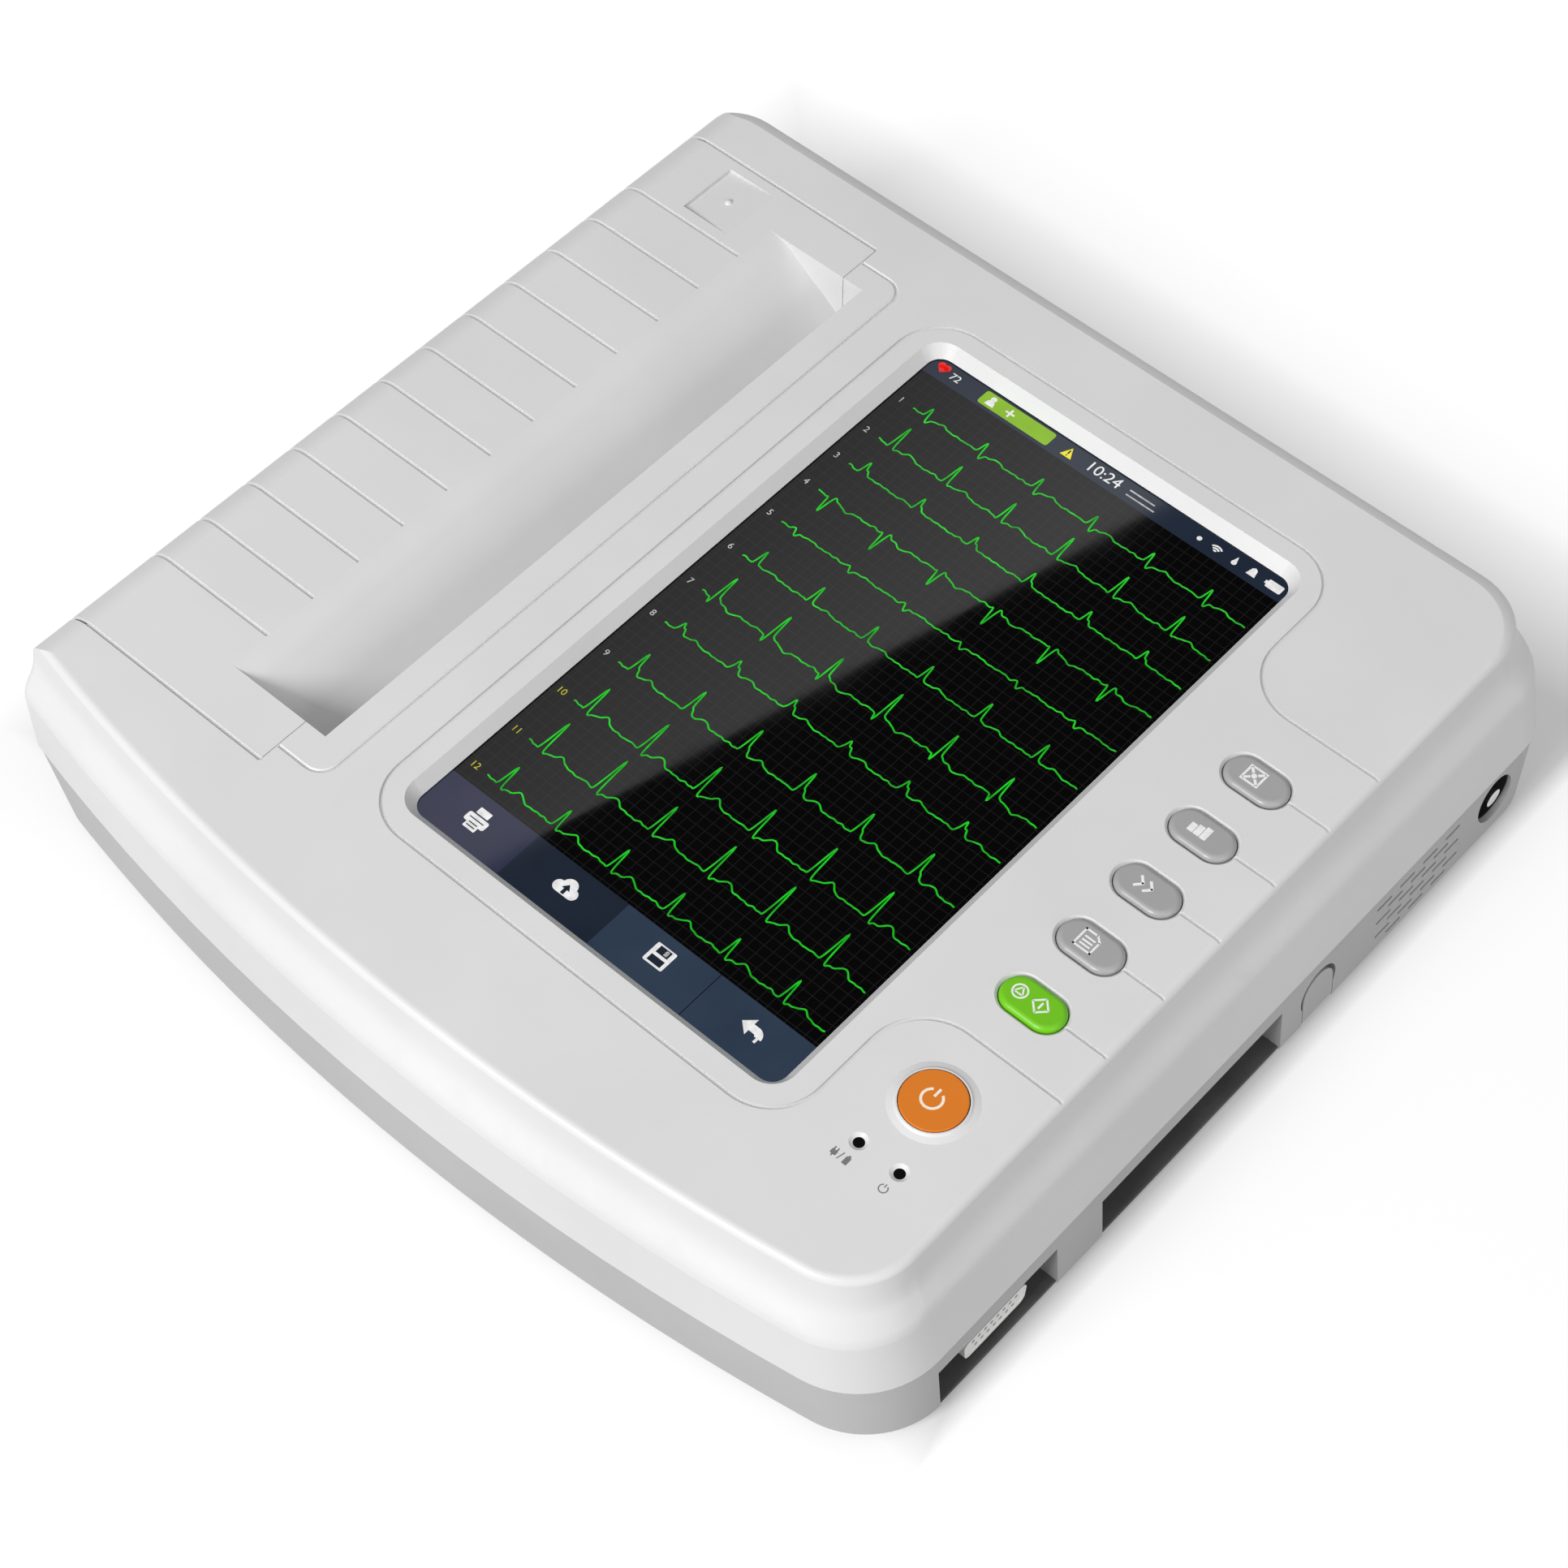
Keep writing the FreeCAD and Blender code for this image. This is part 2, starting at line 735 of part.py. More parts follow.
def shoulder_path(inset, z0, x1):
    """Edges of the lid's outer or inner face from the left wall over the shoulder to x1."""
    r = shoulder_radius - inset
    x0 = left + inset
    z1 = z_top - inset
    bend = V(x0 + r * (1 - math.sqrt(0.5)), 0, z1 - r * (1 - math.sqrt(0.5)))
    points = [V(x0, 0, z0), V(x0, 0, z1 - r), V(x0 + r, 0, z1), V(x1, 0, z1)]
    return [line(points[0], points[1]), arc(points[1], bend, points[2]), line(points[2], points[3])]


def ends_of(path):
    return path[0].Vertexes[0].Point, path[-1].Vertexes[-1].Point


def ramp_path(inset):
    """Edges of the sloping paper chute from its rounded start down to its tip."""
    r = ramp_round - inset
    hub = V(trough_left, 0, z_top - ramp_round)
    half = math.radians(ramp_slope / 2)
    start = hub + V(0, 0, r)
    middle = hub + V(math.sin(half), 0, math.cos(half)) * r
    bend = hub + V(ramp_sin, 0, ramp_cos) * r
    return [arc(start, middle, bend), line(bend, bend + V(ramp_cos, 0, -ramp_sin) * ramp_run)]


def shell_slab(outer, inner, y0, y1):
    a0, a1 = ends_of(outer)
    b0, b1 = ends_of(inner)
    return slab(outer + [line(a1, b1)] + inner[::-1] + [line(b0, a0)], y0, y1)


def lid_cheek(y0, y1):
    """End wall of the chute, with the ear that carries the platen."""
    x0 = platen_x - ear_radius
    x1 = platen_x + ear_radius
    z1 = z_top - ramp_drop
    points = [(trough_left, z_under), (x1, z_under), (x1, platen_height), (x0, platen_height), (x0, z1)]
    web = side_polygon(points, y0, y1)
    return join(web, rod(platen_x, platen_height, ear_radius, y0, y1))


def lid_groove(y, x1):
    """Shallow line over the shoulder from the left wall to x1."""
    z0 = z_top - shoulder_radius - lid_groove_drop
    outer = shoulder_path(-wall, z0, x1)
    inner = shoulder_path(lid_groove_depth, z0, x1)
    return shell_slab(outer, inner, y - lid_groove_width / 2, y + lid_groove_width / 2)


def lid_seam_lines():
    """The same line along the seams at the ends of the lid, half in the lid and half in the cover."""
    return [lid_groove(y, lid_right) for y in (lid_front - seam_gap / 2, lid_rear + seam_gap / 2)]


def thumb_cut():
    x0 = left + thumb_left_inset
    y1 = lid_rear - thumb_rear_inset
    points = [(x0, z_top), (x0, z_top - thumb_depth), (x0 + thumb_length, z_top)]
    return side_polygon(points, y1 - thumb_width, y1)


def thumb_dot():
    x = left + thumb_left_inset + thumb_length / 2
    y = lid_rear - thumb_rear_inset - thumb_width / 2
    return Part.makeSphere(thumb_dot_radius, V(x, y, z_top - thumb_dot_radius + thumb_depth / 4))


def paper_lid():
    top = shoulder_path(0, hinge_z, lid_right)
    under = shoulder_path(wall, hinge_z, lid_right)
    strips = [shell_slab(top, under, lid_front, trough_front), shell_slab(top, under, trough_rear, lid_rear)]
    outer = shoulder_path(0, hinge_z, trough_left) + ramp_path(0)
    inner = shoulder_path(wall, hinge_z, trough_left) + ramp_path(wall)
    middle = shell_slab(outer, inner, trough_front, trough_rear)
    bead = rod(hinge_x, hinge_z, hinge_bead, lid_front, lid_rear)
    cheeks = [lid_cheek(ear_front, trough_front), lid_cheek(trough_rear, ear_rear)]
    lid = join(middle, bead, *strips, *cheeks)
    groove_y = trough_rear - lid_groove_first
    cuts = [lid_groove(groove_y - lid_groove_pitch * i, trough_left) for i in range(lid_groove_count)]
    cuts += lid_seam_lines()
    cuts.append(thumb_cut())
    cuts += [rod(platen_x, platen_height, bush_radius, y, y + wall) for y in (ear_front, trough_rear)]
    cuts += [rod(hinge_x, hinge_z, hinge_pin_radius + running_gap, y0, y1) for y0, y1 in hinge_spans()]
    return lid.cut(cuts).fuse(thumb_dot()).removeSplitter()


def platen_bushes():
    bore = platen_shaft_radius + running_gap
    return Part.makeCompound([tube(platen_x, platen_height, bush_radius, bore, y, y + wall)
                              for y in (ear_front, trough_rear)])


def platen_roller():
    return tube(platen_x, platen_height, platen_radius, platen_shaft_radius, paper_front, paper_rear)


def platen_shaft():
    return rod(platen_x, platen_height, platen_shaft_radius, gear_front - side_gap, ear_rear + side_gap)


def pitch_radius(teeth):
    return gear_module * teeth / 2


def gear(teeth, bore, x, z, phase):
    """Spur gear along Y with one tooth centred on the phase angle, counted from X towards Z."""
    r = pitch_radius(teeth)
    half_tooth = (math.pi * gear_module / 2 - gear_backlash) / 2
    slope = math.tan(math.radians(20))
    tip = r + gear_addendum * gear_module
    root = r - gear_dedendum * gear_module
    points = []
    for i in range(teeth):
        middle = math.radians(phase + 360 * i / teeth)
        for radius, sign in ((root, -1), (tip, -1), (tip, 1), (root, 1)):
            angle = middle + sign * (half_tooth - (radius - r) * slope) / radius
            points.append((x + radius * math.cos(angle), z + radius * math.sin(angle)))
    return side_polygon(points, gear_front, gear_rear).cut(rod(x, z, bore, gear_front, gear_rear))


def next_phase(phase, teeth, next_teeth, direction):
    """Phase of the next gear, so that its gap meets the tooth of the first one."""
    lead = (direction - phase) % (360 / teeth)
    return direction + 180 + lead * teeth / next_teeth + 180 / next_teeth


def step(place, teeth, next_teeth, direction):
    reach = pitch_radius(teeth) + pitch_radius(next_teeth)
    turn = math.radians(direction)
    return (place[0] + reach * math.cos(turn), place[1] + reach * math.sin(turn))


# The near idler lies straight against the way the platen lifts when the lid swings open
lift = math.degrees(math.atan2(platen_x - hinge_x, hinge_z - platen_height))
to_near = lift + 180
near_place = step((platen_x, platen_height), platen_teeth, near_idler_teeth, to_near)
far_place = step(near_place, near_idler_teeth, far_idler_teeth, train_tilt)
pinion_place = step(far_place, far_idler_teeth, pinion_teeth, train_tilt)
platen_phase = to_near
near_phase = next_phase(platen_phase, platen_teeth, near_idler_teeth, to_near)
far_phase = next_phase(near_phase, near_idler_teeth, far_idler_teeth, train_tilt)
pinion_phase = next_phase(far_phase, far_idler_teeth, pinion_teeth, train_tilt)


def platen_gear():
    return gear(platen_teeth, platen_shaft_radius, platen_x, platen_height, platen_phase)


def near_idler_gear():
    return gear(near_idler_teeth, axle_radius + running_gap, *near_place, near_phase)


def far_idler_gear():
    return gear(far_idler_teeth, axle_radius + running_gap, *far_place, far_phase)


def motor_pinion():
    return gear(pinion_teeth, axle_radius, *pinion_place, pinion_phase)


def idler_axles():
    return Part.makeCompound([rod(x, z, axle_radius, gear_front - side_gap, plate_front)
                              for x, z in (near_place, far_place)])


def motor_shaft():
    return rod(*pinion_place, axle_radius, gear_front - side_gap, plate_front + motor_bore_depth)


def feed_motor():
    body = rod(*pinion_place, motor_radius, plate_front, plate_front + motor_length)
    bore = rod(*pinion_place, axle_radius + running_gap,
               plate_front, plate_front + motor_bore_depth + running_gap)
    return body.cut(bore)


def printer_chassis():
    chassis_right = pinion_place[0] + motor_radius + chassis_sheet
    points = [(chassis_left, z_floor), (chassis_right, z_floor), (chassis_right, chassis_low),
              (back_plate, chassis_high), (head_face, chassis_high), (head_face, chassis_low),
              (chassis_left, chassis_low)]
    front_plate = side_polygon(points, plate_front - chassis_sheet, plate_front)
    rear_plate = side_polygon(points, plate_rear, plate_rear + chassis_sheet)
    floor = box(chassis_left, chassis_right, plate_front - chassis_sheet, plate_rear + chassis_sheet,
                z_floor, z_floor + chassis_sheet)
    floor = floor.cut(rod(*pinion_place, motor_radius, plate_front, plate_front + motor_length))
    back = box(back_plate, back_plate + chassis_sheet, plate_front + motor_length + side_gap,
               plate_rear + chassis_sheet, z_floor, chassis_high)
    chassis = join(front_plate, rear_plate, floor, back)
    y0 = plate_front - chassis_sheet
    cuts = [rod(x, z, axle_radius, y0, plate_front) for x, z in (near_place, far_place)]
    cuts.append(rod(*pinion_place, axle_radius + slide_gap, y0, plate_front))
    cuts += [rod(*trunnion_place(), trunnion_radius, y, y + chassis_sheet) for y in (y0, plate_rear)]
    return chassis.cut(cuts)


def trunnion_place():
    return (sink_face + sink_thickness / 2, head_low + head_height / 3)


def print_head():
    return box(head_face, sink_face, paper_front, paper_rear, head_low, head_low + head_height)


def head_heat_sink():
    body = box(sink_face, leaf_face, paper_front, paper_rear, head_low, head_low + head_height)
    pins = [rod(*trunnion_place(), trunnion_radius, plate_front - chassis_sheet, paper_front),
            rod(*trunnion_place(), trunnion_radius, paper_rear, plate_rear + chassis_sheet)]
    return join(body, *pins)


def head_springs():
    """Bent leaves that press the heat sink towards the platen."""
    springs = []
    z0 = head_low + (head_height - leaf_height) / 2
    for i in range(leaf_count):
        y = printer_y + (i - (leaf_count - 1) / 2) * paper_width / (leaf_count + 1)
        points = [(back_plate, y - leaf_span), (leaf_face, y), (back_plate, y + leaf_span),
                  (back_plate, y + leaf_span - 2 * leaf_thickness), (leaf_face + leaf_thickness, y),
                  (back_plate, y - leaf_span + 2 * leaf_thickness)]
        corners = [V(x, py, z0) for x, py in points]
        springs.append(plate(Part.makePolygon(corners + corners[:1]), leaf_height))
    return Part.makeCompound(springs)


def paper_roll():
    return tube(roll_x, roll_height, roll_radius, core_radius, paper_front, paper_rear)


def paper_core():
    return tube(roll_x, roll_height, core_radius, spindle_radius, paper_front, paper_rear)


def roll_spindle():
    barrel = rod(roll_x, roll_height, spindle_radius, paper_front, paper_rear)
    return join(barrel, rod(roll_x, roll_height, journal_radius, tray_front, tray_rear))


def paper_tray():
    x0 = left + tray_left_inset
    x1 = left + tray_right_inset
    cradle = box(x0, x1, tray_front, tray_rear, z_floor, z_floor + tray_cradle_height)
    cradle = cradle.cut(rod(roll_x, roll_height, roll_radius + tray_cradle_gap,
                            tray_front + tray_wall, tray_rear - tray_wall))
    z1 = z_floor + tray_end_height
    ends = [box(roll_x - core_radius, roll_x + core_radius, y, y + tray_wall, z_floor, z1)
            for y in (tray_front, tray_rear - tray_wall)]
    tray = join(cradle, *ends)
    r = journal_radius + running_gap
    slot = box(roll_x - r, roll_x + r, tray_front, tray_rear, roll_height, z1)
    return tray.cut([rod(roll_x, roll_height, r, tray_front, tray_rear), slot])


def screen_plate(x_size, y_size, z0, thickness):
    return plate(round_rect(screen_x, screen_y, x_size, y_size, screen_corner, z0), thickness)


def screen_gasket():
    ring = screen_plate(glass_x_size, glass_y_size, z_glass, gasket_thickness)
    return ring.cut(screen_plate(screen_x_size, screen_y_size, z_glass, gasket_thickness))


def touch_glass():
    return screen_plate(glass_x_size, glass_y_size, z_panel, glass_thickness)


def display_panel():
    return screen_plate(panel_x_size, panel_y_size, z_bracket, panel_thickness)


def display_bracket():
    y_size = panel_y_size + 2 * bracket_tab
    return screen_plate(panel_x_size, y_size, z_bracket - bracket_sheet, bracket_sheet)


def key_cap(y):
    cap = pill(key_x, y, key_length, key_width, z_flange, z_top + key_rise)
    cap = cap.makeFillet(key_round, [e for e in cap.Edges if e.BoundBox.ZMin > z_top])
    flange = pill(key_x, y, key_length + 2 * key_flange, key_width + 2 * key_flange,
                  z_flange - key_flange_thickness, z_flange)
    return join(cap, flange)


def power_button():
    cap = upright(key_x, power_y, power_radius, z_flange, z_top + power_rise)
    cap = cap.makeFillet(power_round, [e for e in cap.Edges if e.BoundBox.ZMin > z_top])
    z0 = z_flange - key_flange_thickness
    return join(cap, upright(key_x, power_y, power_radius + key_flange, z0, z_flange))


def indicator_lenses():
    return Part.makeCompound([upright(key_x + s * indicator_spread / 2, indicator_y, indicator_radius,
                                      z_board, z_top - indicator_sink_depth) for s in (-1, 1)])


def key_board():
    return box(key_x - key_board_half, key_x + key_board_half, key_board_front, key_board_rear,
               z_board - board_sheet, z_board)


def key_switches():
    s = switch_side / 2
    return Part.makeCompound([box(key_x - s, key_x + s, y - s, y + s, z_board, z_switch)
                              for y in key_ys + [power_y]])


def base_block(inset):
    """Base outline carried up from its foot, set in by a wall. The foot is drawn in at the front and
    the rear, leans out at the right and has wider rounds at its rear and on the left."""
    side = base_inset + inset
    corner = skirt_corner - side
    left_corner = base_left_corner - inset
    low = outline(side - base_side_lean, side + base_front_draft, side + base_rear_draft, corner,
                  base_rear_corner - side, z_base, side, left_corner, left_corner)
    high = outline(side, side, side, corner, skirt_rear_corner - side, z_part,
                   side, cover_left_front - inset, cover_left_rear - inset)
    return Part.makeLoft([low, high], True, True)


def recess_walls(y, width):
    """Block that closes a recess in the right wall on its inner sides."""
    half = width / 2 + wall
    return box(recess_back - wall, base_foot, y - half, y + half, z_base, recess_top + wall)


def recess(y, width):
    return box(recess_back, base_foot, y - width / 2, y + width / 2, z_base - wall, recess_top)


def door_shape(x0, x1, gap):
    """Side door outline: square below with a round head."""
    half = door_width / 2 + gap
    head = recess_top + gap - half
    block = box(x0, x1, door_y - half, door_y + half, z_base, head)
    return join(block, Part.makeCylinder(half, x1 - x0, V(x0, door_y, head), ALONG_X))


def door_notch_cut():
    """Finger notch over the head of the side door."""
    radius = door_width / 2 + slide_gap + door_notch
    place = V(base_right - door_notch_depth, door_y, recess_top - door_width / 2 + door_notch_rise)
    return Part.makeCylinder(radius, door_notch_depth + base_side_lean, place, ALONG_X)


def door_hinge():
    return (base_right - door_thickness / 2, z_base + door_thickness / 2 + slide_gap)


def door_pin_span():
    half = door_width / 2 + slide_gap + door_pin_hold
    return (door_y - half, door_y + half)


def grille_slots():
    slots = []
    for row in range(grille_rows):
        columns = grille_columns - 1 + row % 2
        z = grille_low + row * grille_pitch_z
        for column in range(columns):
            y = grille_y + (column - (columns - 1) / 2) * grille_pitch_y
            slots.append(box(base_right - 2 * wall, base_foot, y - slot_length / 2, y + slot_length / 2,
                             z, z + slot_height))
    return slots


def port_boxes():
    """Outer size of each socket in the port recess: middle y, width, height."""
    return [(network_y, network_width, network_height)] + [(y, usb_width, usb_height) for y in usb_y]


def bay_block(margin, z0, z1):
    x = battery_x_size / 2 + margin
    y = battery_y_size / 2 + margin
    return box(battery_x - x, battery_x + x, battery_y - y, battery_y + y, z0, z1)


def base_shell():
    """Floor and walls of the base, before its right side is parted off as two panels."""
    shell = base_block(0)
    shell = shell.makeFillet(base_edge_round, [e for e in shell.Edges if e.BoundBox.ZMax < z_floor])
    base = shell.cut(base_block(wall).common(box(left, base_foot, front, rear, z_floor, z_part)))
    pockets = [recess_walls(connector_recess_y, connector_recess_width),
               recess_walls(port_recess_y, port_recess_width)]
    half = door_width / 2 + door_pin_hold + wall
    pockets.append(box(base_right - door_pocket_depth - wall, base_foot, door_y - half, door_y + half,
                       z_base, recess_top + wall))
    cup_depth = earth_recess_depth + wall
    pockets.append(Part.makeCylinder(earth_recess_radius + wall, cup_depth,
                                     V(base_right - cup_depth, earth_y, earth_height), ALONG_X))
    pockets = [pocket.common(shell) for pocket in pockets]
    posts = [upright(x, y, boss_radius, z_base, z_part) for x, y in boss_places]
    posts += [upright(x, y, board_post_radius, z_base + wall / 2, board_height) for x, y in board_posts]
    battery_bay = bay_block(bay_gap + wall, z_base + wall / 2, z_floor + battery_height + bay_gap + wall)
    ears = [upright(x, y, door_ear + wall / 2, z_base + wall / 2, z_floor + wall) for x, y in door_screws]
    base = base.multiFuse([*pockets, *posts, battery_bay, *ears])
    cuts = [recess(connector_recess_y, connector_recess_width),
            recess(port_recess_y, port_recess_width)]
    cuts.append(door_shape(base_right - door_thickness - slide_gap, base_foot, slide_gap))
    cuts.append(door_shape(base_right - door_pocket_depth, base_foot, -slide_gap * 3).common(
        box(left, base_foot, front, rear, z_floor, z_part)))
    cuts.append(door_notch_cut())
    cuts.append(rod(*door_hinge(), door_pin_radius, *door_pin_span()))
    cuts += grille_slots()
    cuts.append(Part.makeCylinder(earth_recess_radius, earth_recess_depth + wall,
                                  V(base_right - earth_recess_depth, earth_y, earth_height), ALONG_X))
    cuts += [box(recess_back - wall, recess_back, y - w / 2, y + w / 2, z_floor, z_floor + h)
             for y, w, h in port_boxes()]
    cuts.append(box(inlet_x - inlet_width / 2, inlet_x + inlet_width / 2, inlet_face - inlet_depth, rear,
                    z_floor, z_floor + inlet_height))
    cuts.append(bay_block(bay_gap, z_base, z_floor + battery_height + bay_gap))
    cuts += [upright(x, y, door_ear + slide_gap, z_base, z_floor) for x, y in door_screws]
    cuts += [upright(x, y, screw_radius, z_floor, z_floor + wall) for x, y in door_screws]
    for x, y in boss_places:
        cuts.append(upright(x, y, screw_radius, z_base, z_part))
        cuts.append(upright(x, y, screw_head_radius, z_base, z_base + screw_head_height))
    cuts += [upright(x, y, foot_stem_radius, z_base, z_floor) for x, y in foot_places]
    return base.cut(cuts)


def base_case():
    return base_shell().common(box(left, side_face, front, rear, z_base - wall, board_height))


def side_panel(y0, y1):
    """Length of the base's right side, from its floor to the seam."""
    return base_shell().common(box(side_face, base_foot, y0, y1, z_base - wall, board_height))


def socket_panel():
    return side_panel(front, panel_split)


def speaker_panel():
    return side_panel(panel_split, rear)


def rubber_feet():
    return Part.makeCompound([join(upright(x, y, foot_radius, 0, z_base),
                                   upright(x, y, foot_stem_radius, z_base, z_floor)) for x, y in foot_places])


def case_screws():
    z_neck = z_base + screw_head_height
    z_tip = z_part + screw_length / 2
    return Part.makeCompound([join(upright(x, y, screw_head_radius, z_base, z_neck),
                                   upright(x, y, screw_radius, z_neck, z_tip)) for x, y in boss_places])


def battery_door():
    lid = bay_block(bay_gap - slide_gap, z_base, z_floor)
    ears = [upright(x, y, door_ear, z_base, z_floor) for x, y in door_screws]
    holes = [upright(x, y, screw_radius, z_base, z_floor) for x, y in door_screws]
    return join(lid, *ears).cut(holes)


def battery_door_screws():
    return Part.makeCompound([upright(x, y, screw_radius, z_base, z_floor + wall) for x, y in door_screws])


def battery_pack():
    pack = bay_block(0, z_floor, z_floor + battery_height)
    return pack.makeFillet(wall / 2, [e for e in pack.Edges if e.BoundBox.ZLength > wall])


def patient_connector():
    """D-shaped plug on a flange against the back of its recess, its contact face set in behind a thin rim."""
    def block(margin, x0, x1):
        a = plug_length / 2 + margin
        lean = plug_height * math.tan(math.radians(plug_slope)) / 2
        z0 = plug_low - margin
        z1 = plug_low + plug_height + margin
        y = connector_recess_y
        points = [V(x0, y - a + lean, z0), V(x0, y + a - lean, z0), V(x0, y + a, z1), V(x0, y - a, z1)]
        body = Part.Face(Part.makePolygon(points + points[:1])).extrude(V(x1 - x0, 0, 0))
        along = [e for e in body.Edges if e.BoundBox.XLength > (x1 - x0) / 2]
        return body.makeFillet(plug_corner + margin, along)
    plug_face = recess_back + plug_depth
    flange = block(plug_flange_margin, recess_back, recess_back + plug_flange_thickness)
    plug = join(flange, block(0, recess_back, plug_face))
    return plug.cut(block(-plug_shell, plug_face - plug_lip, plug_face))


def socket(y, width, height, mouth_width, mouth_height):
    body = box(recess_back - socket_depth, recess_back, y - width / 2, y + width / 2,
               z_floor, z_floor + height)
    z0 = z_floor + (height - mouth_height) / 2
    mouth = box(recess_back - socket_depth + socket_floor, recess_back,
                y - mouth_width / 2, y + mouth_width / 2, z0, z0 + mouth_height)
    return body.cut(mouth)


def network_socket():
    return socket(network_y, network_width, network_height, network_mouth_width, network_mouth_height)


def usb_sockets():
    return Part.makeCompound([socket(y, usb_width, usb_height, usb_mouth_width, usb_mouth_height)
                              for y in usb_y])


def card_door():
    x, z = door_hinge()
    r = door_thickness / 2
    panel = door_shape(base_right - door_thickness, base_foot, 0).common(base_block(0))
    panel = panel.common(box(left, base_foot, front, rear, z, z_part))
    bead = rod(x, z, r, door_y - door_width / 2, door_y + door_width / 2)
    return join(panel, bead).cut(rod(x, z, door_pin_radius + running_gap, front, rear))


def card_door_pin():
    return rod(*door_hinge(), door_pin_radius, *door_pin_span())


def speaker():
    x1 = base_right - wall
    z0 = z_floor
    frame = box(x1 - wall, x1, grille_y - speaker_length / 2, grille_y + speaker_length / 2,
                z0, z0 + speaker_height)
    can = Part.makeCylinder(speaker_height / 2 - wall / 2, speaker_depth - wall,
                            V(x1 - speaker_depth, grille_y, z0 + speaker_height / 2), ALONG_X)
    return join(frame, can)


def earth_post():
    x0 = base_right - earth_recess_depth
    place = V(x0, earth_y, earth_height)
    flange = Part.makeCylinder(earth_flange_radius, earth_flange_thickness, place, ALONG_X)
    pin = Part.makeCylinder(earth_pin_radius, earth_flange_thickness + earth_pin_length, place, ALONG_X)
    return join(flange, pin)


def mains_inlet():
    z0 = z_floor
    body = box(inlet_x - inlet_width / 2, inlet_x + inlet_width / 2, inlet_face - inlet_depth, inlet_face,
               z0, z0 + inlet_height)
    z1 = z0 + (inlet_height - inlet_mouth_height) / 2
    y0 = inlet_face - inlet_mouth_depth
    mouth = box(inlet_x - inlet_mouth_width / 2, inlet_x + inlet_mouth_width / 2, y0, inlet_face,
                z1, z1 + inlet_mouth_height)
    middle = z0 + inlet_height / 2
    s = inlet_pin_side / 2
    pins = [box(x - s, x + s, y0, y0 + inlet_pin_length, middle - s, middle + s)
            for x in (inlet_x - inlet_pin_spread, inlet_x, inlet_x + inlet_pin_spread)]
    return join(body.cut(mouth), *pins)


def power_supply():
    return box(supply_right - supply_width, supply_right, supply_front, supply_rear,
               z_floor, z_floor + supply_height)


def main_board():
    return box(board_left, board_right, board_front, board_rear, board_height, board_height + board_sheet)


def board_shield():
    x = (board_left + board_right) / 2
    y = (board_front + board_rear) / 2
    z = board_height + board_sheet
    can = box(x - shield_x / 2, x + shield_x / 2, y - shield_y / 2, y + shield_y / 2, z, z + shield_height)
    return can.makeChamfer(wall / 2, [e for e in can.Edges if e.BoundBox.ZMin > z])


def save(name, shape):
    shape.exportStep("parts/%s.step" % name)


os.makedirs("parts", exist_ok=True)
for make in (
        base_case, socket_panel, speaker_panel, top_cover, paper_lid, lid_hinge_pins, exit_frame, tear_bar,
        platen_roller, platen_shaft, platen_bushes, platen_gear, near_idler_gear, far_idler_gear, idler_axles,
        motor_pinion, motor_shaft, feed_motor, printer_chassis, print_head, head_heat_sink, head_springs,
        paper_roll, paper_core, roll_spindle, paper_tray, screen_gasket, touch_glass, display_panel,
        display_bracket, power_button, indicator_lenses, key_board, key_switches, rubber_feet, case_screws,
        battery_door, battery_door_screws, battery_pack, patient_connector, network_socket, usb_sockets,
        card_door, card_door_pin, speaker, earth_post, mains_inlet, power_supply, main_board, board_shield):
    save(make.__name__, make())
for name, y in zip(key_names, key_ys):
    save(name, key_cap(y))
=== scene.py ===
import math

import bmesh
import bpy
from mathutils import Matrix, Vector


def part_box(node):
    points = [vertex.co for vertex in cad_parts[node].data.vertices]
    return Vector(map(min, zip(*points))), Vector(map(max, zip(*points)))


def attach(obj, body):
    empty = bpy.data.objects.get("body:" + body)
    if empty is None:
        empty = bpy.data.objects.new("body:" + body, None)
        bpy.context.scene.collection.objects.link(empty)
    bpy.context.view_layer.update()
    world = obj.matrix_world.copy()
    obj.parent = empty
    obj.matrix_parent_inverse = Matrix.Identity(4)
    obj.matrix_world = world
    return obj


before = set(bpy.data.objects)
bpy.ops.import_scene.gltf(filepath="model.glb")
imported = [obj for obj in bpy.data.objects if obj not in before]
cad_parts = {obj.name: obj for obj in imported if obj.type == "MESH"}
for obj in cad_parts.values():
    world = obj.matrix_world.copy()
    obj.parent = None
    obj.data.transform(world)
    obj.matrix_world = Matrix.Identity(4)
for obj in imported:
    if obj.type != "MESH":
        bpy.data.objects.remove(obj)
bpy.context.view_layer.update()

# Lengths below are in millimetres and are turned to metres where a mesh gets its place.
MM = 0.001
# Thickness of a printed or lit mark on its surface.
INK = 0.04
# Most of a noise lies between these two values.
NOISE_LOW, NOISE_HIGH = 0.3, 0.7


# Colours and nodes

def linear(hex_colour):
    """sRGB hex value as a linear colour with full alpha."""
    channels = [(hex_colour >> shift & 255) / 255 for shift in (16, 8, 0)]
    return tuple(c / 12.92 if c <= 0.04045 else ((c + 0.055) / 1.055) ** 2.4 for c in channels) + (1.0,)


def add(mat, kind, links=None, tones=(), **settings):
    """Adds one shader node, sets its properties, gives a ramp its two tones, and sets or links its inputs."""
    node = mat.node_tree.nodes.new("ShaderNode" + kind)
    for name, value in settings.items():
        setattr(node, name, value)
    for i, (position, tone) in enumerate(zip((NOISE_LOW, NOISE_HIGH), tones)):
        node.color_ramp.elements[i].position = position
        node.color_ramp.elements[i].color = linear(tone)
    for socket, value in (links or {}).items():
        if isinstance(value, bpy.types.NodeSocket):
            mat.node_tree.links.new(value, node.inputs[socket])
        else:
            node.inputs[socket].default_value = value
    return node


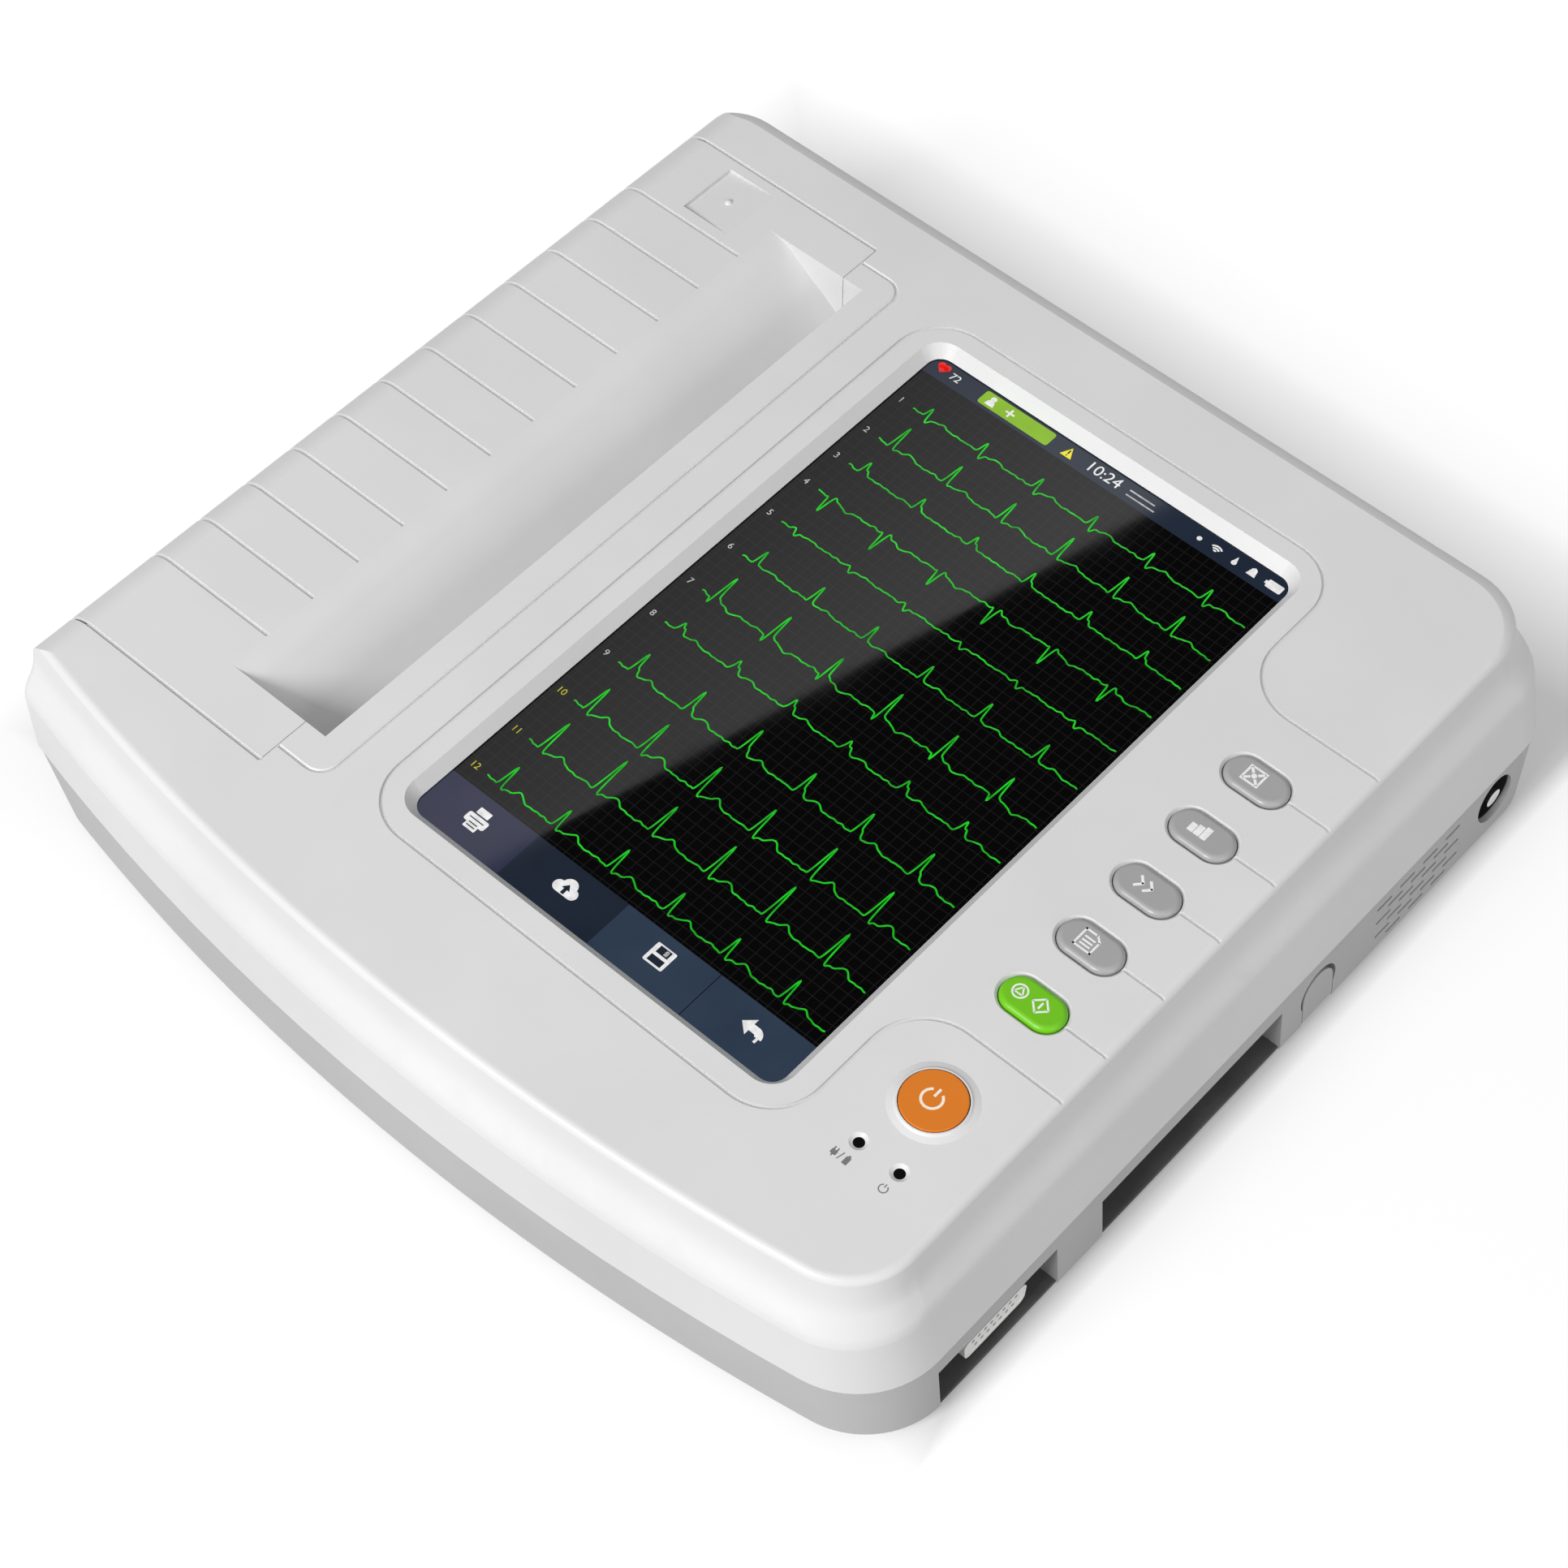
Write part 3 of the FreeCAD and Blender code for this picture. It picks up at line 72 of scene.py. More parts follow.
def new_material(name):
    """Material with an empty node tree."""
    mat = bpy.data.materials.new(name)
    mat.use_nodes = True
    mat.node_tree.nodes.clear()
    return mat


def surface(mat, kind, links):
    """Adds the shader that a material shows and joins it to the output."""
    shader = add(mat, kind, links)
    add(mat, "OutputMaterial", {"Surface": shader.outputs[0]})
    return mat


def per_mm(size):
    """Pattern scale whose features are about this many millimetres across."""
    return 1 / (size * MM)


# Materials

def skin(name, tones, rough, cloud, grit=None, relief=None, stretch=(1.0, 1.0, 1.0), **inputs):
    """Surface whose tone drifts with a cloud, and whose sheen and relief follow a grit, or else the cloud.

    A cloud or grit is the size of its features in millimetres and their detail. A relief is a depth in
    millimetres and a strength. Other inputs of the shader are named with underscores for spaces.
    """
    mat = new_material(name)
    place = add(mat, "TexCoord").outputs["Object"]
    place = add(mat, "Mapping", {"Vector": place, "Scale": stretch}).outputs["Vector"]
    drift, fine = [
        add(mat, "TexNoise", {"Vector": place, "Scale": per_mm(size), "Detail": detail}).outputs["Fac"]
        for size, detail in (cloud, grit or cloud)]
    sheen = add(mat, "MapRange", {"Value": fine, "From Min": NOISE_LOW, "From Max": NOISE_HIGH,
                                  "To Min": rough[0], "To Max": rough[1]})
    links = {key.replace("_", " "): value for key, value in inputs.items()}
    links["Base Color"] = add(mat, "ValToRGB", {"Fac": drift}, tones).outputs["Color"]
    links["Roughness"] = sheen.outputs["Result"]
    if relief:
        depth, strength = relief
        bumps = add(mat, "Bump", {"Height": fine, "Distance": depth * MM, "Strength": strength})
        links["Normal"] = bumps.outputs["Normal"]
    return surface(mat, "BsdfPrincipled", links)


def moulded(name, low, high, grain, depth, rough_low, rough_high, coat=0.0):
    """Moulded plastic: an even skin from a spark-eroded mould, with cloudy tone so faint that only a long
    look finds it, and a soft broad sheen that the fine grain breaks up. A coat gives the shine of a lens."""
    # Real mould grain is near 0.1 mm; it is drawn a few times coarser so that it shows at all.
    return skin(name, (low, high), (rough_low, rough_high), (46.0, 3.0), (grain, 3.0), (depth, 0.35),
                IOR=1.53, Coat_Weight=coat, Coat_Roughness=0.22)


def metal(name, low, high, rough_low, rough_high, along):
    """Worked metal: fine lines along the way it was drawn or ground, each catching the light on its own."""
    return skin(name, (low, high), (rough_low, rough_high), (1.2, 3.0), relief=(0.02, 0.2), stretch=along,
                Metallic=1.0)


def soft_rubber(name, low, high):
    """Moulded rubber: dull, dark, with a dusty bloom in its fine pits."""
    return skin(name, (low, high), (0.7, 0.9), (12.0, 4.0), (0.8, 3.0), (0.04, 0.4), IOR=1.52)


def roll_paper():
    """Thermal chart paper: a smooth pale sheet with a faint cloud of fibre."""
    return skin("thermal_chart_paper", (0xEDE6E2, 0xF8F4F0), (0.5, 0.65), (1.5, 4.0), relief=(0.02, 0.2),
                IOR=1.5)


def printed_ink(name, low, high):
    """Pad-printed ink: a thin satin film with slightly uneven cover."""
    return skin(name, (low, high), (0.4, 0.55), (0.9, 3.0), IOR=1.5)


def circuit_board():
    """Glass-fibre board under green resist: satin, with a weave that shows faintly through the film."""
    mat = new_material("green_circuit_board")
    place = add(mat, "TexCoord").outputs["Object"]
    weave = add(mat, "TexChecker", {"Vector": place, "Scale": per_mm(1.6)})
    cloud = add(mat, "TexNoise", {"Vector": place, "Scale": per_mm(9.0), "Detail": 3.0})
    resist = add(mat, "ValToRGB", {"Fac": cloud.outputs["Fac"]}, (0x0B4A22, 0x136A31))
    threads = add(mat, "Bump", {"Height": weave.outputs["Fac"], "Distance": 0.01 * MM, "Strength": 0.25})
    return surface(mat, "BsdfPrincipled", {
        "Base Color": resist.outputs["Color"], "Roughness": 0.35, "IOR": 1.5,
        "Normal": threads.outputs["Normal"]})


def display_glass():
    """Black touch glass over a dark panel: a mirror-smooth face with a dim square chart grid behind it."""
    mat = new_material("touch_glass_over_panel")
    place = add(mat, "TexCoord").outputs["Object"]
    pitch = 3.3
    thread = 0.32
    grid = add(mat, "TexBrick", {
        "Vector": place, "Color1": linear(0x030303), "Color2": linear(0x040404), "Mortar": linear(0x181617),
        "Scale": 0.5 / (pitch * MM), "Mortar Size": 0.25 * thread / pitch, "Mortar Smooth": 0.3,
        "Brick Width": 0.5, "Row Height": 0.5}, offset=0.0, squash=1.0)
    smear = add(mat, "TexNoise", {"Vector": place, "Scale": per_mm(30.0), "Detail": 4.0})
    sheen = add(mat, "MapRange", {
        "Value": smear.outputs["Fac"], "From Min": NOISE_LOW, "From Max": NOISE_HIGH,
        "To Min": 0.02, "To Max": 0.05})
    return surface(mat, "BsdfPrincipled", {
        "Base Color": linear(0x030303), "Emission Color": grid.outputs["Color"], "Emission Strength": 1.0,
        "Roughness": sheen.outputs["Result"], "IOR": 1.5})


def lit_display(name, low, high, size):
    """Pixels of the panel behind the glass: they give light of their own, a little uneven along a line,
    and carry the gloss of the glass that lies on them."""
    mat = new_material(name)
    place = add(mat, "TexCoord").outputs["Object"]
    cloud = add(mat, "TexNoise", {"Vector": place, "Scale": per_mm(size), "Detail": 2.0})
    shine = add(mat, "ValToRGB", {"Fac": cloud.outputs["Fac"]}, (low, high))
    return surface(mat, "BsdfPrincipled", {
        "Base Color": linear(0x050505), "Emission Color": shine.outputs["Color"], "Emission Strength": 1.0,
        "Roughness": 0.05, "IOR": 1.5})


# Case: pale and mid-grey matt shells that meet at the waist
light_shell = moulded("light_grey_moulded_abs", 0xD9D9D9, 0xDEDEDE, 0.45, 0.012, 0.42, 0.52)
grey_shell = moulded("mid_grey_moulded_abs", 0xAEAEAF, 0xB4B4B5, 0.45, 0.012, 0.44, 0.54)
# Keys and button: smoother than the case, so that a soft highlight runs along each edge
grey_key = moulded("grey_key_cap_abs", 0xA3A3A3, 0xA9A9A9, 0.3, 0.005, 0.3, 0.38, 0.1)
green_key = moulded("green_key_cap_abs", 0x6CC000, 0x74CA00, 0.3, 0.005, 0.36, 0.44)
orange_cap = moulded("orange_button_abs", 0xD87400, 0xDE7A00, 0.3, 0.006, 0.5, 0.58)
# Dark lenses and modules, which read as holes until the light catches them
lamp_lens = moulded("smoked_lamp_lens", 0x060606, 0x0C0C0C, 1.5, 0.002, 0.06, 0.12, 0.3)
glass = display_glass()
panel_black = moulded("display_module_black", 0x08080A, 0x101012, 0.6, 0.01, 0.3, 0.4)
black_abs = moulded("black_moulded_abs", 0x1A1A1B, 0x222223, 0.5, 0.015, 0.4, 0.55)
# Pale engineering plastics and glaze: a slightly waxy white, a creamy gear and a glassy print head
white_plug = moulded("white_connector_nylon", 0xF2F2F0, 0xF8F8F6, 0.4, 0.01, 0.35, 0.45)
acetal = moulded("natural_acetal_gears", 0xE0DCCB, 0xEAE6D6, 0.5, 0.01, 0.35, 0.45)
ceramic = moulded("glazed_head_ceramic", 0xDAD6CE, 0xE6E2DA, 0.8, 0.004, 0.12, 0.2, 0.4)
# Metals: cold grey sheet and cans, brighter drawn or turned pieces with their lines along the work
steel = metal("plated_sheet_steel", 0x9EA1A4, 0xC2C5C8, 0.22, 0.4, (1.0, 0.06, 1.0))
motor_steel = metal("plated_motor_can", 0x8C8F92, 0xADB0B3, 0.3, 0.45, (0.06, 1.0, 1.0))
aluminium = metal("extruded_aluminium", 0xB8BABD, 0xD4D6D8, 0.3, 0.45, (1.0, 0.05, 1.0))
nickel = metal("polished_nickel", 0xD2D2D0, 0xEAEAE8, 0.12, 0.25, (0.05, 1.0, 1.0))
brass = metal("turned_brass", 0xB08A3C, 0xD8B45E, 0.18, 0.32, (0.05, 1.0, 1.0))
gold = metal("gilt_contacts", 0xC8A040, 0xE0BC62, 0.2, 0.3, (1.0, 0.1, 1.0))
# Rubber, which swallows the light, and a dark pad that is painted shade at the foot of the recesses
black_rubber = soft_rubber("black_rubber", 0x1C1C1C, 0x2A2A29)
shade_pad_finish = soft_rubber("dark_pad_painted_shade", 0x484848, 0x565656)
paper = roll_paper()
board = circuit_board()
# Inks: crisp pale marks on the caps, and quiet grey ones on the case. The grey of the contact holes is
# painted shade, drawn as an ink.
key_ink = printed_ink("white_key_ink", 0xE6E6E6, 0xF6F6F6)
cap_ink = printed_ink("pale_button_ink", 0xF2E2CC, 0xFBF0E0)
sign_ink = printed_ink("grey_sign_ink", 0x6E6E70, 0x7C7C7E)
contact_hole_painted_shade = printed_ink("grey_contact_hole_painted_shade", 0x8C8C8A, 0x9C9C9A)
# Lit marks: bright thin signs over dim, wide fields
trace_green = lit_display("lit_trace_green", 0x0A9A12, 0x12D81C, 5.0)
bar_navy = lit_display("lit_bar_navy", 0x1C2434, 0x202A3A, 25.0)
pill_green = lit_display("lit_label_green", 0x7FB012, 0x8ABC1C, 12.0)
mark_white = lit_display("lit_mark_white", 0xD8D8D8, 0xF2F2F2, 1.5)
number_white = lit_display("lit_number_white", 0x9A9A9A, 0xC8C8C8, 1.5)
number_yellow = lit_display("lit_number_yellow", 0x9C9418, 0xC8BE2A, 1.5)
heart_red = lit_display("lit_heart_red", 0xD81414, 0xEE2020, 2.0)
alert_yellow = lit_display("lit_alert_yellow", 0xDCD21C, 0xF0E62C, 2.0)
tile_dark = lit_display("lit_tile_dark", 0x1C2431, 0x202836, 20.0)
tile_slate = lit_display("lit_tile_slate", 0x2B384A, 0x303E50, 20.0)
tile_plum = lit_display("lit_tile_plum", 0x2A2E44, 0x30334A, 20.0)

FINISHES = (
    (light_shell, "top_cover paper_lid exit_frame"),
    (grey_shell, "base_case socket_panel speaker_panel battery_door card_door"),
    (grey_key, "lead_key gain_key speed_key report_key"),
    (green_key, "start_key"),
    (orange_cap, "power_button"),
    (lamp_lens, "indicator_lenses"),
    (glass, "touch_glass"),
    (panel_black, "display_panel"),
    (steel, "lid_hinge_pins tear_bar platen_shaft idler_axles motor_shaft printer_chassis head_springs"),
    (steel, "display_bracket case_screws battery_door_screws card_door_pin board_shield"),
    (motor_steel, "feed_motor power_supply"),
    (aluminium, "head_heat_sink"),
    (ceramic, "print_head"),
    (black_rubber, "platen_roller rubber_feet screen_gasket"),
    (acetal, "platen_gear near_idler_gear far_idler_gear motor_pinion"),
    (paper, "paper_roll paper_core"),
    (board, "key_board main_board"),
    (black_abs, "key_switches paper_tray roll_spindle network_socket usb_sockets speaker mains_inlet"),
    (black_abs, "battery_pack"),
    (white_plug, "patient_connector"),
    (brass, "platen_bushes"),
    (nickel, "earth_post"),
)
for material, names in FINISHES:
    for name in names.split():
        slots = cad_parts[name].data.materials
        slots.clear()
        slots.append(material)


# Marks are drawn flat in millimetres, X to the right and Y up, with their underside at Z = 0

def at(x, y, turn=0.0, z=0.0):
    """Place of a mark, turned by an angle in radians."""
    return Matrix.Translation((x, y, z)) @ Matrix.Rotation(turn, 4, "Z")


def bar(bm, x0, y0, x1, y1, width):
    """Square-ended stroke between two points."""
    run = Vector((x1 - x0, y1 - y0))
    place = at((x0 + x1) / 2, (y0 + y1) / 2, math.atan2(run.y, run.x), INK / 2)
    bmesh.ops.create_cube(bm, size=1, matrix=place @ Matrix.Diagonal((run.length, width, INK, 1)))


def tile(bm, x0, y0, x1, y1, radius=0.0, lift=0.0):
    """Upright rectangle with rounded corners."""
    place = at((x0 + x1) / 2, (y0 + y1) / 2, z=INK / 2 + lift)
    made = bmesh.ops.create_cube(bm, size=1, matrix=place @ Matrix.Diagonal((x1 - x0, y1 - y0, INK, 1)))
    if radius:
        edges = {e for v in made["verts"] for e in v.link_edges}
        upright = [e for e in edges if abs(e.verts[0].co.z - e.verts[1].co.z) > INK / 2]
        bmesh.ops.bevel(bm, geom=upright, offset=radius, affect="EDGES", segments=6, profile=0.5, material=-1)


def disc(bm, x, y, radius):
    """Round spot."""
    bmesh.ops.create_cone(bm, cap_ends=True, segments=32, radius1=radius, radius2=radius, depth=INK,
                          matrix=at(x, y, z=INK / 2))


def ring(bm, x, y, radius, width, start=0.0, sweep=360.0):
    """Ring or arc of a given stroke width, angles in degrees from X."""
    inner, outer = radius - width / 2, radius + width / 2
    turned = at(x, y, math.radians(start))
    corners = ((inner, 0, 0), (outer, 0, 0), (outer, 0, INK), (inner, 0, INK))
    face = bm.faces.new([bm.verts.new(turned @ Vector(corner)) for corner in corners])
    whole = sweep >= 360
    bmesh.ops.spin(bm, geom=[face], cent=(x, y, 0), axis=(0, 0, 1), angle=math.radians(sweep),
                   steps=max(8, int(sweep / 9)), use_merge=whole)
    if whole and face.is_valid:
        bmesh.ops.delete(bm, geom=[face], context="FACES_ONLY")


def patch(bm, points):
    """Flat sign with straight sides through a few corners."""
    face = bm.faces.new([bm.verts.new((x, y, 0)) for x, y in points])
    made = bmesh.ops.extrude_face_region(bm, geom=[face])
    top = [g for g in made["geom"] if isinstance(g, bmesh.types.BMVert)]
    bmesh.ops.translate(bm, vec=(0, 0, INK), verts=top)


def block(bm, middle, size, tilt=0.0):
    """Block by its middle and its sizes, tilted about Y by an angle in degrees. Gives back its edges."""
    place = Matrix.Translation(middle) @ Matrix.Rotation(math.radians(tilt), 4, "Y")
    made = bmesh.ops.create_cube(bm, size=1, matrix=place @ Matrix.Diagonal((*size, 1)))
    return {e for v in made["verts"] for e in v.link_edges}


def block_between(bm, low, high):
    """Upright block between two corners. Gives back its edges."""
    low, high = Vector(low), Vector(high)
    return block(bm, (low + high) / 2, high - low)


def add_curve(bm, curve, place):
    """Adds a text or a drawn line to the marks, as a mesh."""
    holder = bpy.data.objects.new("drawn", curve)
    mesh = bpy.data.meshes.new_from_object(holder)
    mesh.transform(place)
    bm.from_mesh(mesh)
    bpy.data.objects.remove(holder)
    bpy.data.meshes.remove(mesh)
    bpy.data.curves.remove(curve)


# Height of a numeral as a share of the size of its font.
NUMERAL_SHARE = 0.7


def write(bm, words, x, y, height, align="LEFT"):
    """Adds plain numbers to the marks, lower left or lower middle at x, y."""
    text = bpy.data.curves.new("numbers", "FONT")
    text.body = words
    text.align_x = align
    text.size = height / NUMERAL_SHARE
    text.extrude = INK / 2
    text.resolution_u = 4
    add_curve(bm, text, Matrix.Translation((x, y, INK / 2)))


def trace(bm, points, width):
    """Adds a flat drawn line through the points."""
    line = bpy.data.curves.new("line", "CURVE")
    line.dimensions = "3D"
    line.bevel_depth = width / 2
    line.bevel_resolution = 1
    spline = line.splines.new("POLY")
    spline.points.add(len(points) - 1)
    for point, (x, y) in zip(spline.points, points):
        point.co = (x, y, 0, 1)
    add_curve(bm, line, Matrix.Translation((0, 0, INK / 2)) @ Matrix.Diagonal((1, 1, INK / width, 1)))


def place_piece(name, bm, material, body, x, y, z):
    """Turns the drawn marks into a piece of the object at a place in millimetres."""
    bmesh.ops.recalc_face_normals(bm, faces=bm.faces)
    move = Matrix.Diagonal((MM, MM, MM, 1)) @ Matrix.Translation((x, y, z))
    bmesh.ops.transform(bm, matrix=move, verts=bm.verts)
    mesh = bpy.data.meshes.new(name)
    bm.to_mesh(mesh)
    bm.free()
    mesh.materials.append(material)
    piece = bpy.data.objects.new(name, mesh)
    bpy.context.scene.collection.objects.link(piece)
    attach(piece, body)


# Picture on the display

glass_low, glass_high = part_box("touch_glass")
# Width of the glass hidden under the bezel on each side.
HIDDEN = 4.0
screen_left = glass_low.x / MM + HIDDEN
screen_right = glass_high.x / MM - HIDDEN
screen_front = glass_low.y / MM + HIDDEN
screen_rear = glass_high.y / MM - HIDDEN
glass_top = glass_high.z / MM
# The picture runs this far under the bezel, whose rounded corners cover its own square ones.
UNDER_BEZEL = 1.5

# One row per lead: height of its base line over the front edge, then the sizes of its Q, R, S and T waves.
LEADS = (
    (198.9, 0.0, 4.4, -1.9, 0.8), (183.4, -0.4, 8.4, -0.6, 1.3), (170.2, -0.2, 4.6, 1.6, 0.2),
    (157.0, 0.9, -6.2, 1.4, -1.0), (141.3, 0.4, 0.9, -1.5, 0.2), (124.6, -0.3, 6.4, 0.3, 0.8),
    (107.6, -3.0, 9.4, 0.8, -1.1), (92.2, 0.6, 4.0, 2.2, 0.9), (73.2, -0.3, 8.6, 2.2, 1.3),
    (55.4, -0.4, 10.8, -1.0, 2.2), (37.6, -0.4, 11.9, -0.8, 2.0), (21.6, -0.3, 7.4, -0.9, 1.7),
)
# Leads after this one have yellow numbers.
LAST_WHITE = 9
BEAT_PITCH = 20.5
FIRST_BEAT = 12.8
BEATS = 6
TRACE_START = 8.0
TRACE_END = 130.2
TRACE_STEPS = 720
TRACE_WIDTH = 0.5


def show(name, bm, material, layer=0):
    """Puts marks on the glass, over so many layers of other marks."""
    height = glass_top + layer * INK
    place_piece(name, bm, material, "case", screen_left, screen_front, height)


def wave(x, at_x, size, width):
    """Smooth hump of a given size and width."""
    return size * math.exp(-((x - at_x) / width) ** 2)


def lead_height(x, lead):
    """Height of a lead's line over its base line at x."""
    base, q, r, s, t = lead
    height = 0.12 * math.sin(0.9 * x + base) + 0.1 * math.sin(2.3 * x + 0.7 * base)
    for beat in range(BEATS):
        peak = FIRST_BEAT + BEAT_PITCH * beat
        size = 1 + 0.09 * math.sin(2.1 * beat + base)
        height += wave(x, peak - 4.2, 0.35, 1.0) + wave(x, peak - 0.9, q, 0.45)
        height += wave(x, peak, r * size, 0.62) + wave(x, peak + 1.3, s, 0.8) + wave(x, peak + 6.6, t, 1.8)
    return height


def lead_traces():
    """One green line across the screen for each lead."""
    bm = bmesh.new()
    xs = [TRACE_START + (TRACE_END - TRACE_START) * i / TRACE_STEPS for i in range(TRACE_STEPS + 1)]
    for lead in LEADS:
        trace(bm, [(x, lead[0] + lead_height(x, lead)) for x in xs], TRACE_WIDTH)
    show("lead_traces", bm, trace_green)


def lead_numbers():
    """A number at the left end of each line."""
    white = bmesh.new()
    yellow = bmesh.new()
    for i, lead in enumerate(LEADS):
        write(white if i < LAST_WHITE else yellow, str(i + 1), 3.3, lead[0] - 0.6, 2.2, "CENTER")
    show("lead_numbers", white, number_white)
    show("lead_numbers_chest", yellow, number_yellow)


STATUS_FRONT = 212.3


def status_bar():
    """Dark strip at the rear end of the picture with its small signs."""
    width = screen_right - screen_left
    length = screen_rear - screen_front
    bm = bmesh.new()
    tile(bm, -UNDER_BEZEL, STATUS_FRONT, width + UNDER_BEZEL, length + UNDER_BEZEL)
    show("status_strip", bm, bar_navy)
    bm = bmesh.new()
    disc(bm, 3.55, 217.6, 1.2)
    disc(bm, 5.55, 217.6, 1.2)
    patch(bm, [(2.62, 216.85), (4.55, 214.9), (6.48, 216.85), (5.6, 217.9), (3.5, 217.9)])
    show("heart_sign", bm, heart_red, 1)
    bm = bmesh.new()
    tile(bm, 20.0, 213.6, 46.2, 219.1, 0.9)
    show("subject_label", bm, pill_green, 1)
    bm = bmesh.new()
    patch(bm, [(50.9, 214.3), (54.9, 214.3), (52.9, 218.2)])
    show("alert_sign", bm, alert_yellow, 1)
    bm = bmesh.new()
    bar(bm, 52.9, 215.5, 52.9, 217.1, 0.5)
    bar(bm, 52.9, 214.7, 52.9, 215.1, 0.5)
    show("alert_mark", bm, tile_dark, 2)
    bm = bmesh.new()
    write(bm, "72", 7.9, 215.0, 2.6)
    write(bm, "10:24", 59.6, 214.6, 3.9)
    # Dot, fan, drop, bell and battery
    disc(bm, 100.9, 216.0, 0.8)
    for radius in (0.6, 1.5, 2.4):
        ring(bm, 106.9, 214.7, radius, 0.55, 45, 90)
    disc(bm, 113.6, 215.5, 0.85)
    patch(bm, [(112.9, 215.9), (114.3, 215.9), (113.6, 218.0)])
    patch(bm, [(118.3, 214.8), (121.3, 214.8), (120.7, 217.4), (119.8, 218.0), (118.9, 217.4)])
    tile(bm, 125.0, 214.6, 130.2, 217.6, 0.5)
    bar(bm, 124.3, 216.1, 125.0, 216.1, 1.2)
    show("status_signs", bm, mark_white, 1)
    bm = bmesh.new()
    bar(bm, 75.0, 216.9, 84.0, 216.9, 0.5)
    bar(bm, 75.0, 214.9, 85.2, 214.9, 0.5)
    show("status_lines", bm, number_white, 1)
    # Head and shoulders, and a plus
    bm = bmesh.new()
    disc(bm, 23.7, 217.3, 0.95)
    patch(bm, [(22.1, 214.5), (25.3, 214.5), (24.9, 216.0), (24.2, 216.7), (23.2, 216.7), (22.5, 216.0)])
    bar(bm, 29.0, 216.3, 32.2, 216.3, 0.6)
    bar(bm, 30.6, 214.7, 30.6, 217.9, 0.6)
    show("subject_sign", bm, mark_white, 2)


# Touch areas at the front end: rear edge, then name, material, left and right edge of each.
TILE_REAR = 16.7
TILES = (
    ("print_tile", tile_plum, -UNDER_BEZEL, 32.6), ("send_tile", tile_dark, 32.6, 65.7),
    ("store_tile", tile_slate, 65.7, 98.5), ("return_tile", tile_slate, 98.75, 133.5),
)


def menu_tiles():
    """Four touch areas at the front end of the picture, each with its sign."""
    for name, material, left, right in TILES:
        bm = bmesh.new()
        tile(bm, left, -UNDER_BEZEL, right, TILE_REAR)
        show(name, bm, material)
    signs = bmesh.new()
    marks = bmesh.new()
    # Printer
    tile(signs, 14.5, 10.9, 18.7, 13.1, 0.3)
    tile(signs, 13.0, 7.3, 20.2, 10.4, 0.7)
    tile(signs, 14.5, 5.5, 18.7, 8.9, 0.2, INK)
    bar(marks, 14.1, 9.0, 19.1, 9.0, 0.35)
    for y in (6.5, 7.6):
        bar(marks, 15.1, y, 18.1, y, 0.35)
    # Cloud with a rising arrow
    disc(signs, 47.6, 8.8, 1.9)
    disc(signs, 50.0, 10.3, 2.4)
    disc(signs, 52.2, 8.7, 1.8)
    tile(signs, 47.6, 6.9, 52.3, 9.0)
    patch(marks, [(48.4, 8.9), (51.2, 8.9), (49.8, 10.7)])
    bar(marks, 49.8, 7.2, 49.8, 9.0, 1.1)
    # Storage disk
    tile(signs, 79.5, 6.7, 86.2, 13.4, 0.5)
    tile(marks, 80.9, 10.5, 84.9, 12.9)
    tile(marks, 80.6, 7.3, 85.2, 9.5)
    tile(signs, 83.2, 10.9, 84.3, 12.6, 0.0, 2 * INK)
    # Arrow that turns back
    patch(signs, [(112.0, 10.0), (115.2, 12.9), (115.2, 7.2)])
    tile(signs, 115.0, 8.9, 117.2, 11.2)
    ring(signs, 117.0, 8.4, 1.65, 2.3, 0, 90)
    bar(signs, 118.65, 6.9, 118.65, 8.5, 0.8)
    show("menu_signs", signs, mark_white, 1)
    show("menu_sign_marks", marks, tile_dark, 3)


# Signs on the keys, the power button and by the lamps

COVER_TOP = 69.5
# Distance from the lamps to the signs in front of them.
LAMP_TO_SIGN = 6.2


def box_mm(node):
    """Low corner, middle and high corner of a node's box in millimetres."""
    low, high = [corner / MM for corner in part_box(node)]
    return low, (low + high) / 2, high


def lead_sign(bm):
    """Square frame with two crossing strokes round a middle point."""
    for s in (-1, 1):
        bar(bm, -2.95, 2.6 * s, 2.95, 2.6 * s, 0.65)
        bar(bm, 2.6 * s, -2.3, 2.6 * s, 2.3, 0.65)
    for s in (-1, 1):
        bar(bm, 0.75, 0.75 * s, 2.3, 2.3 * s, 0.8)
        bar(bm, -0.75, 0.75 * s, -2.3, 2.3 * s, 0.8)
    disc(bm, 0, 0, 0.8)


def gain_sign(bm):
    """Three posts that rise to the right."""
    for i, height in enumerate((3.0, 3.6, 4.3)):
        tile(bm, -3.1 + 2.1 * i, -2.1, -1.2 + 2.1 * i, -2.1 + height, 0.15)


def speed_sign(bm):
    """Two arrow heads for paper speed."""
    for x in (-2.4, 0.6):
        bar(bm, x, -2.0, x + 2.0, 0.15, 0.8)
        bar(bm, x, 2.0, x + 2.0, -0.15, 0.8)


def report_sign(bm):
    """Sheet with a folded corner and lines."""
    bar(bm, -2.7, -3.2, -2.7, 3.2, 0.6)
    bar(bm, -3.0, -2.9, 3.0, -2.9, 0.6)
    bar(bm, 2.7, -3.2, 2.7, 1.4, 0.6)
    bar(bm, -3.0, 2.9, 1.0, 2.9, 0.6)
    bar(bm, 0.8, 3.1, 2.9, 1.2, 0.6)
    for y in (0.9, -0.4, -1.6):
        bar(bm, -1.7, y, 1.7, y, 0.55)


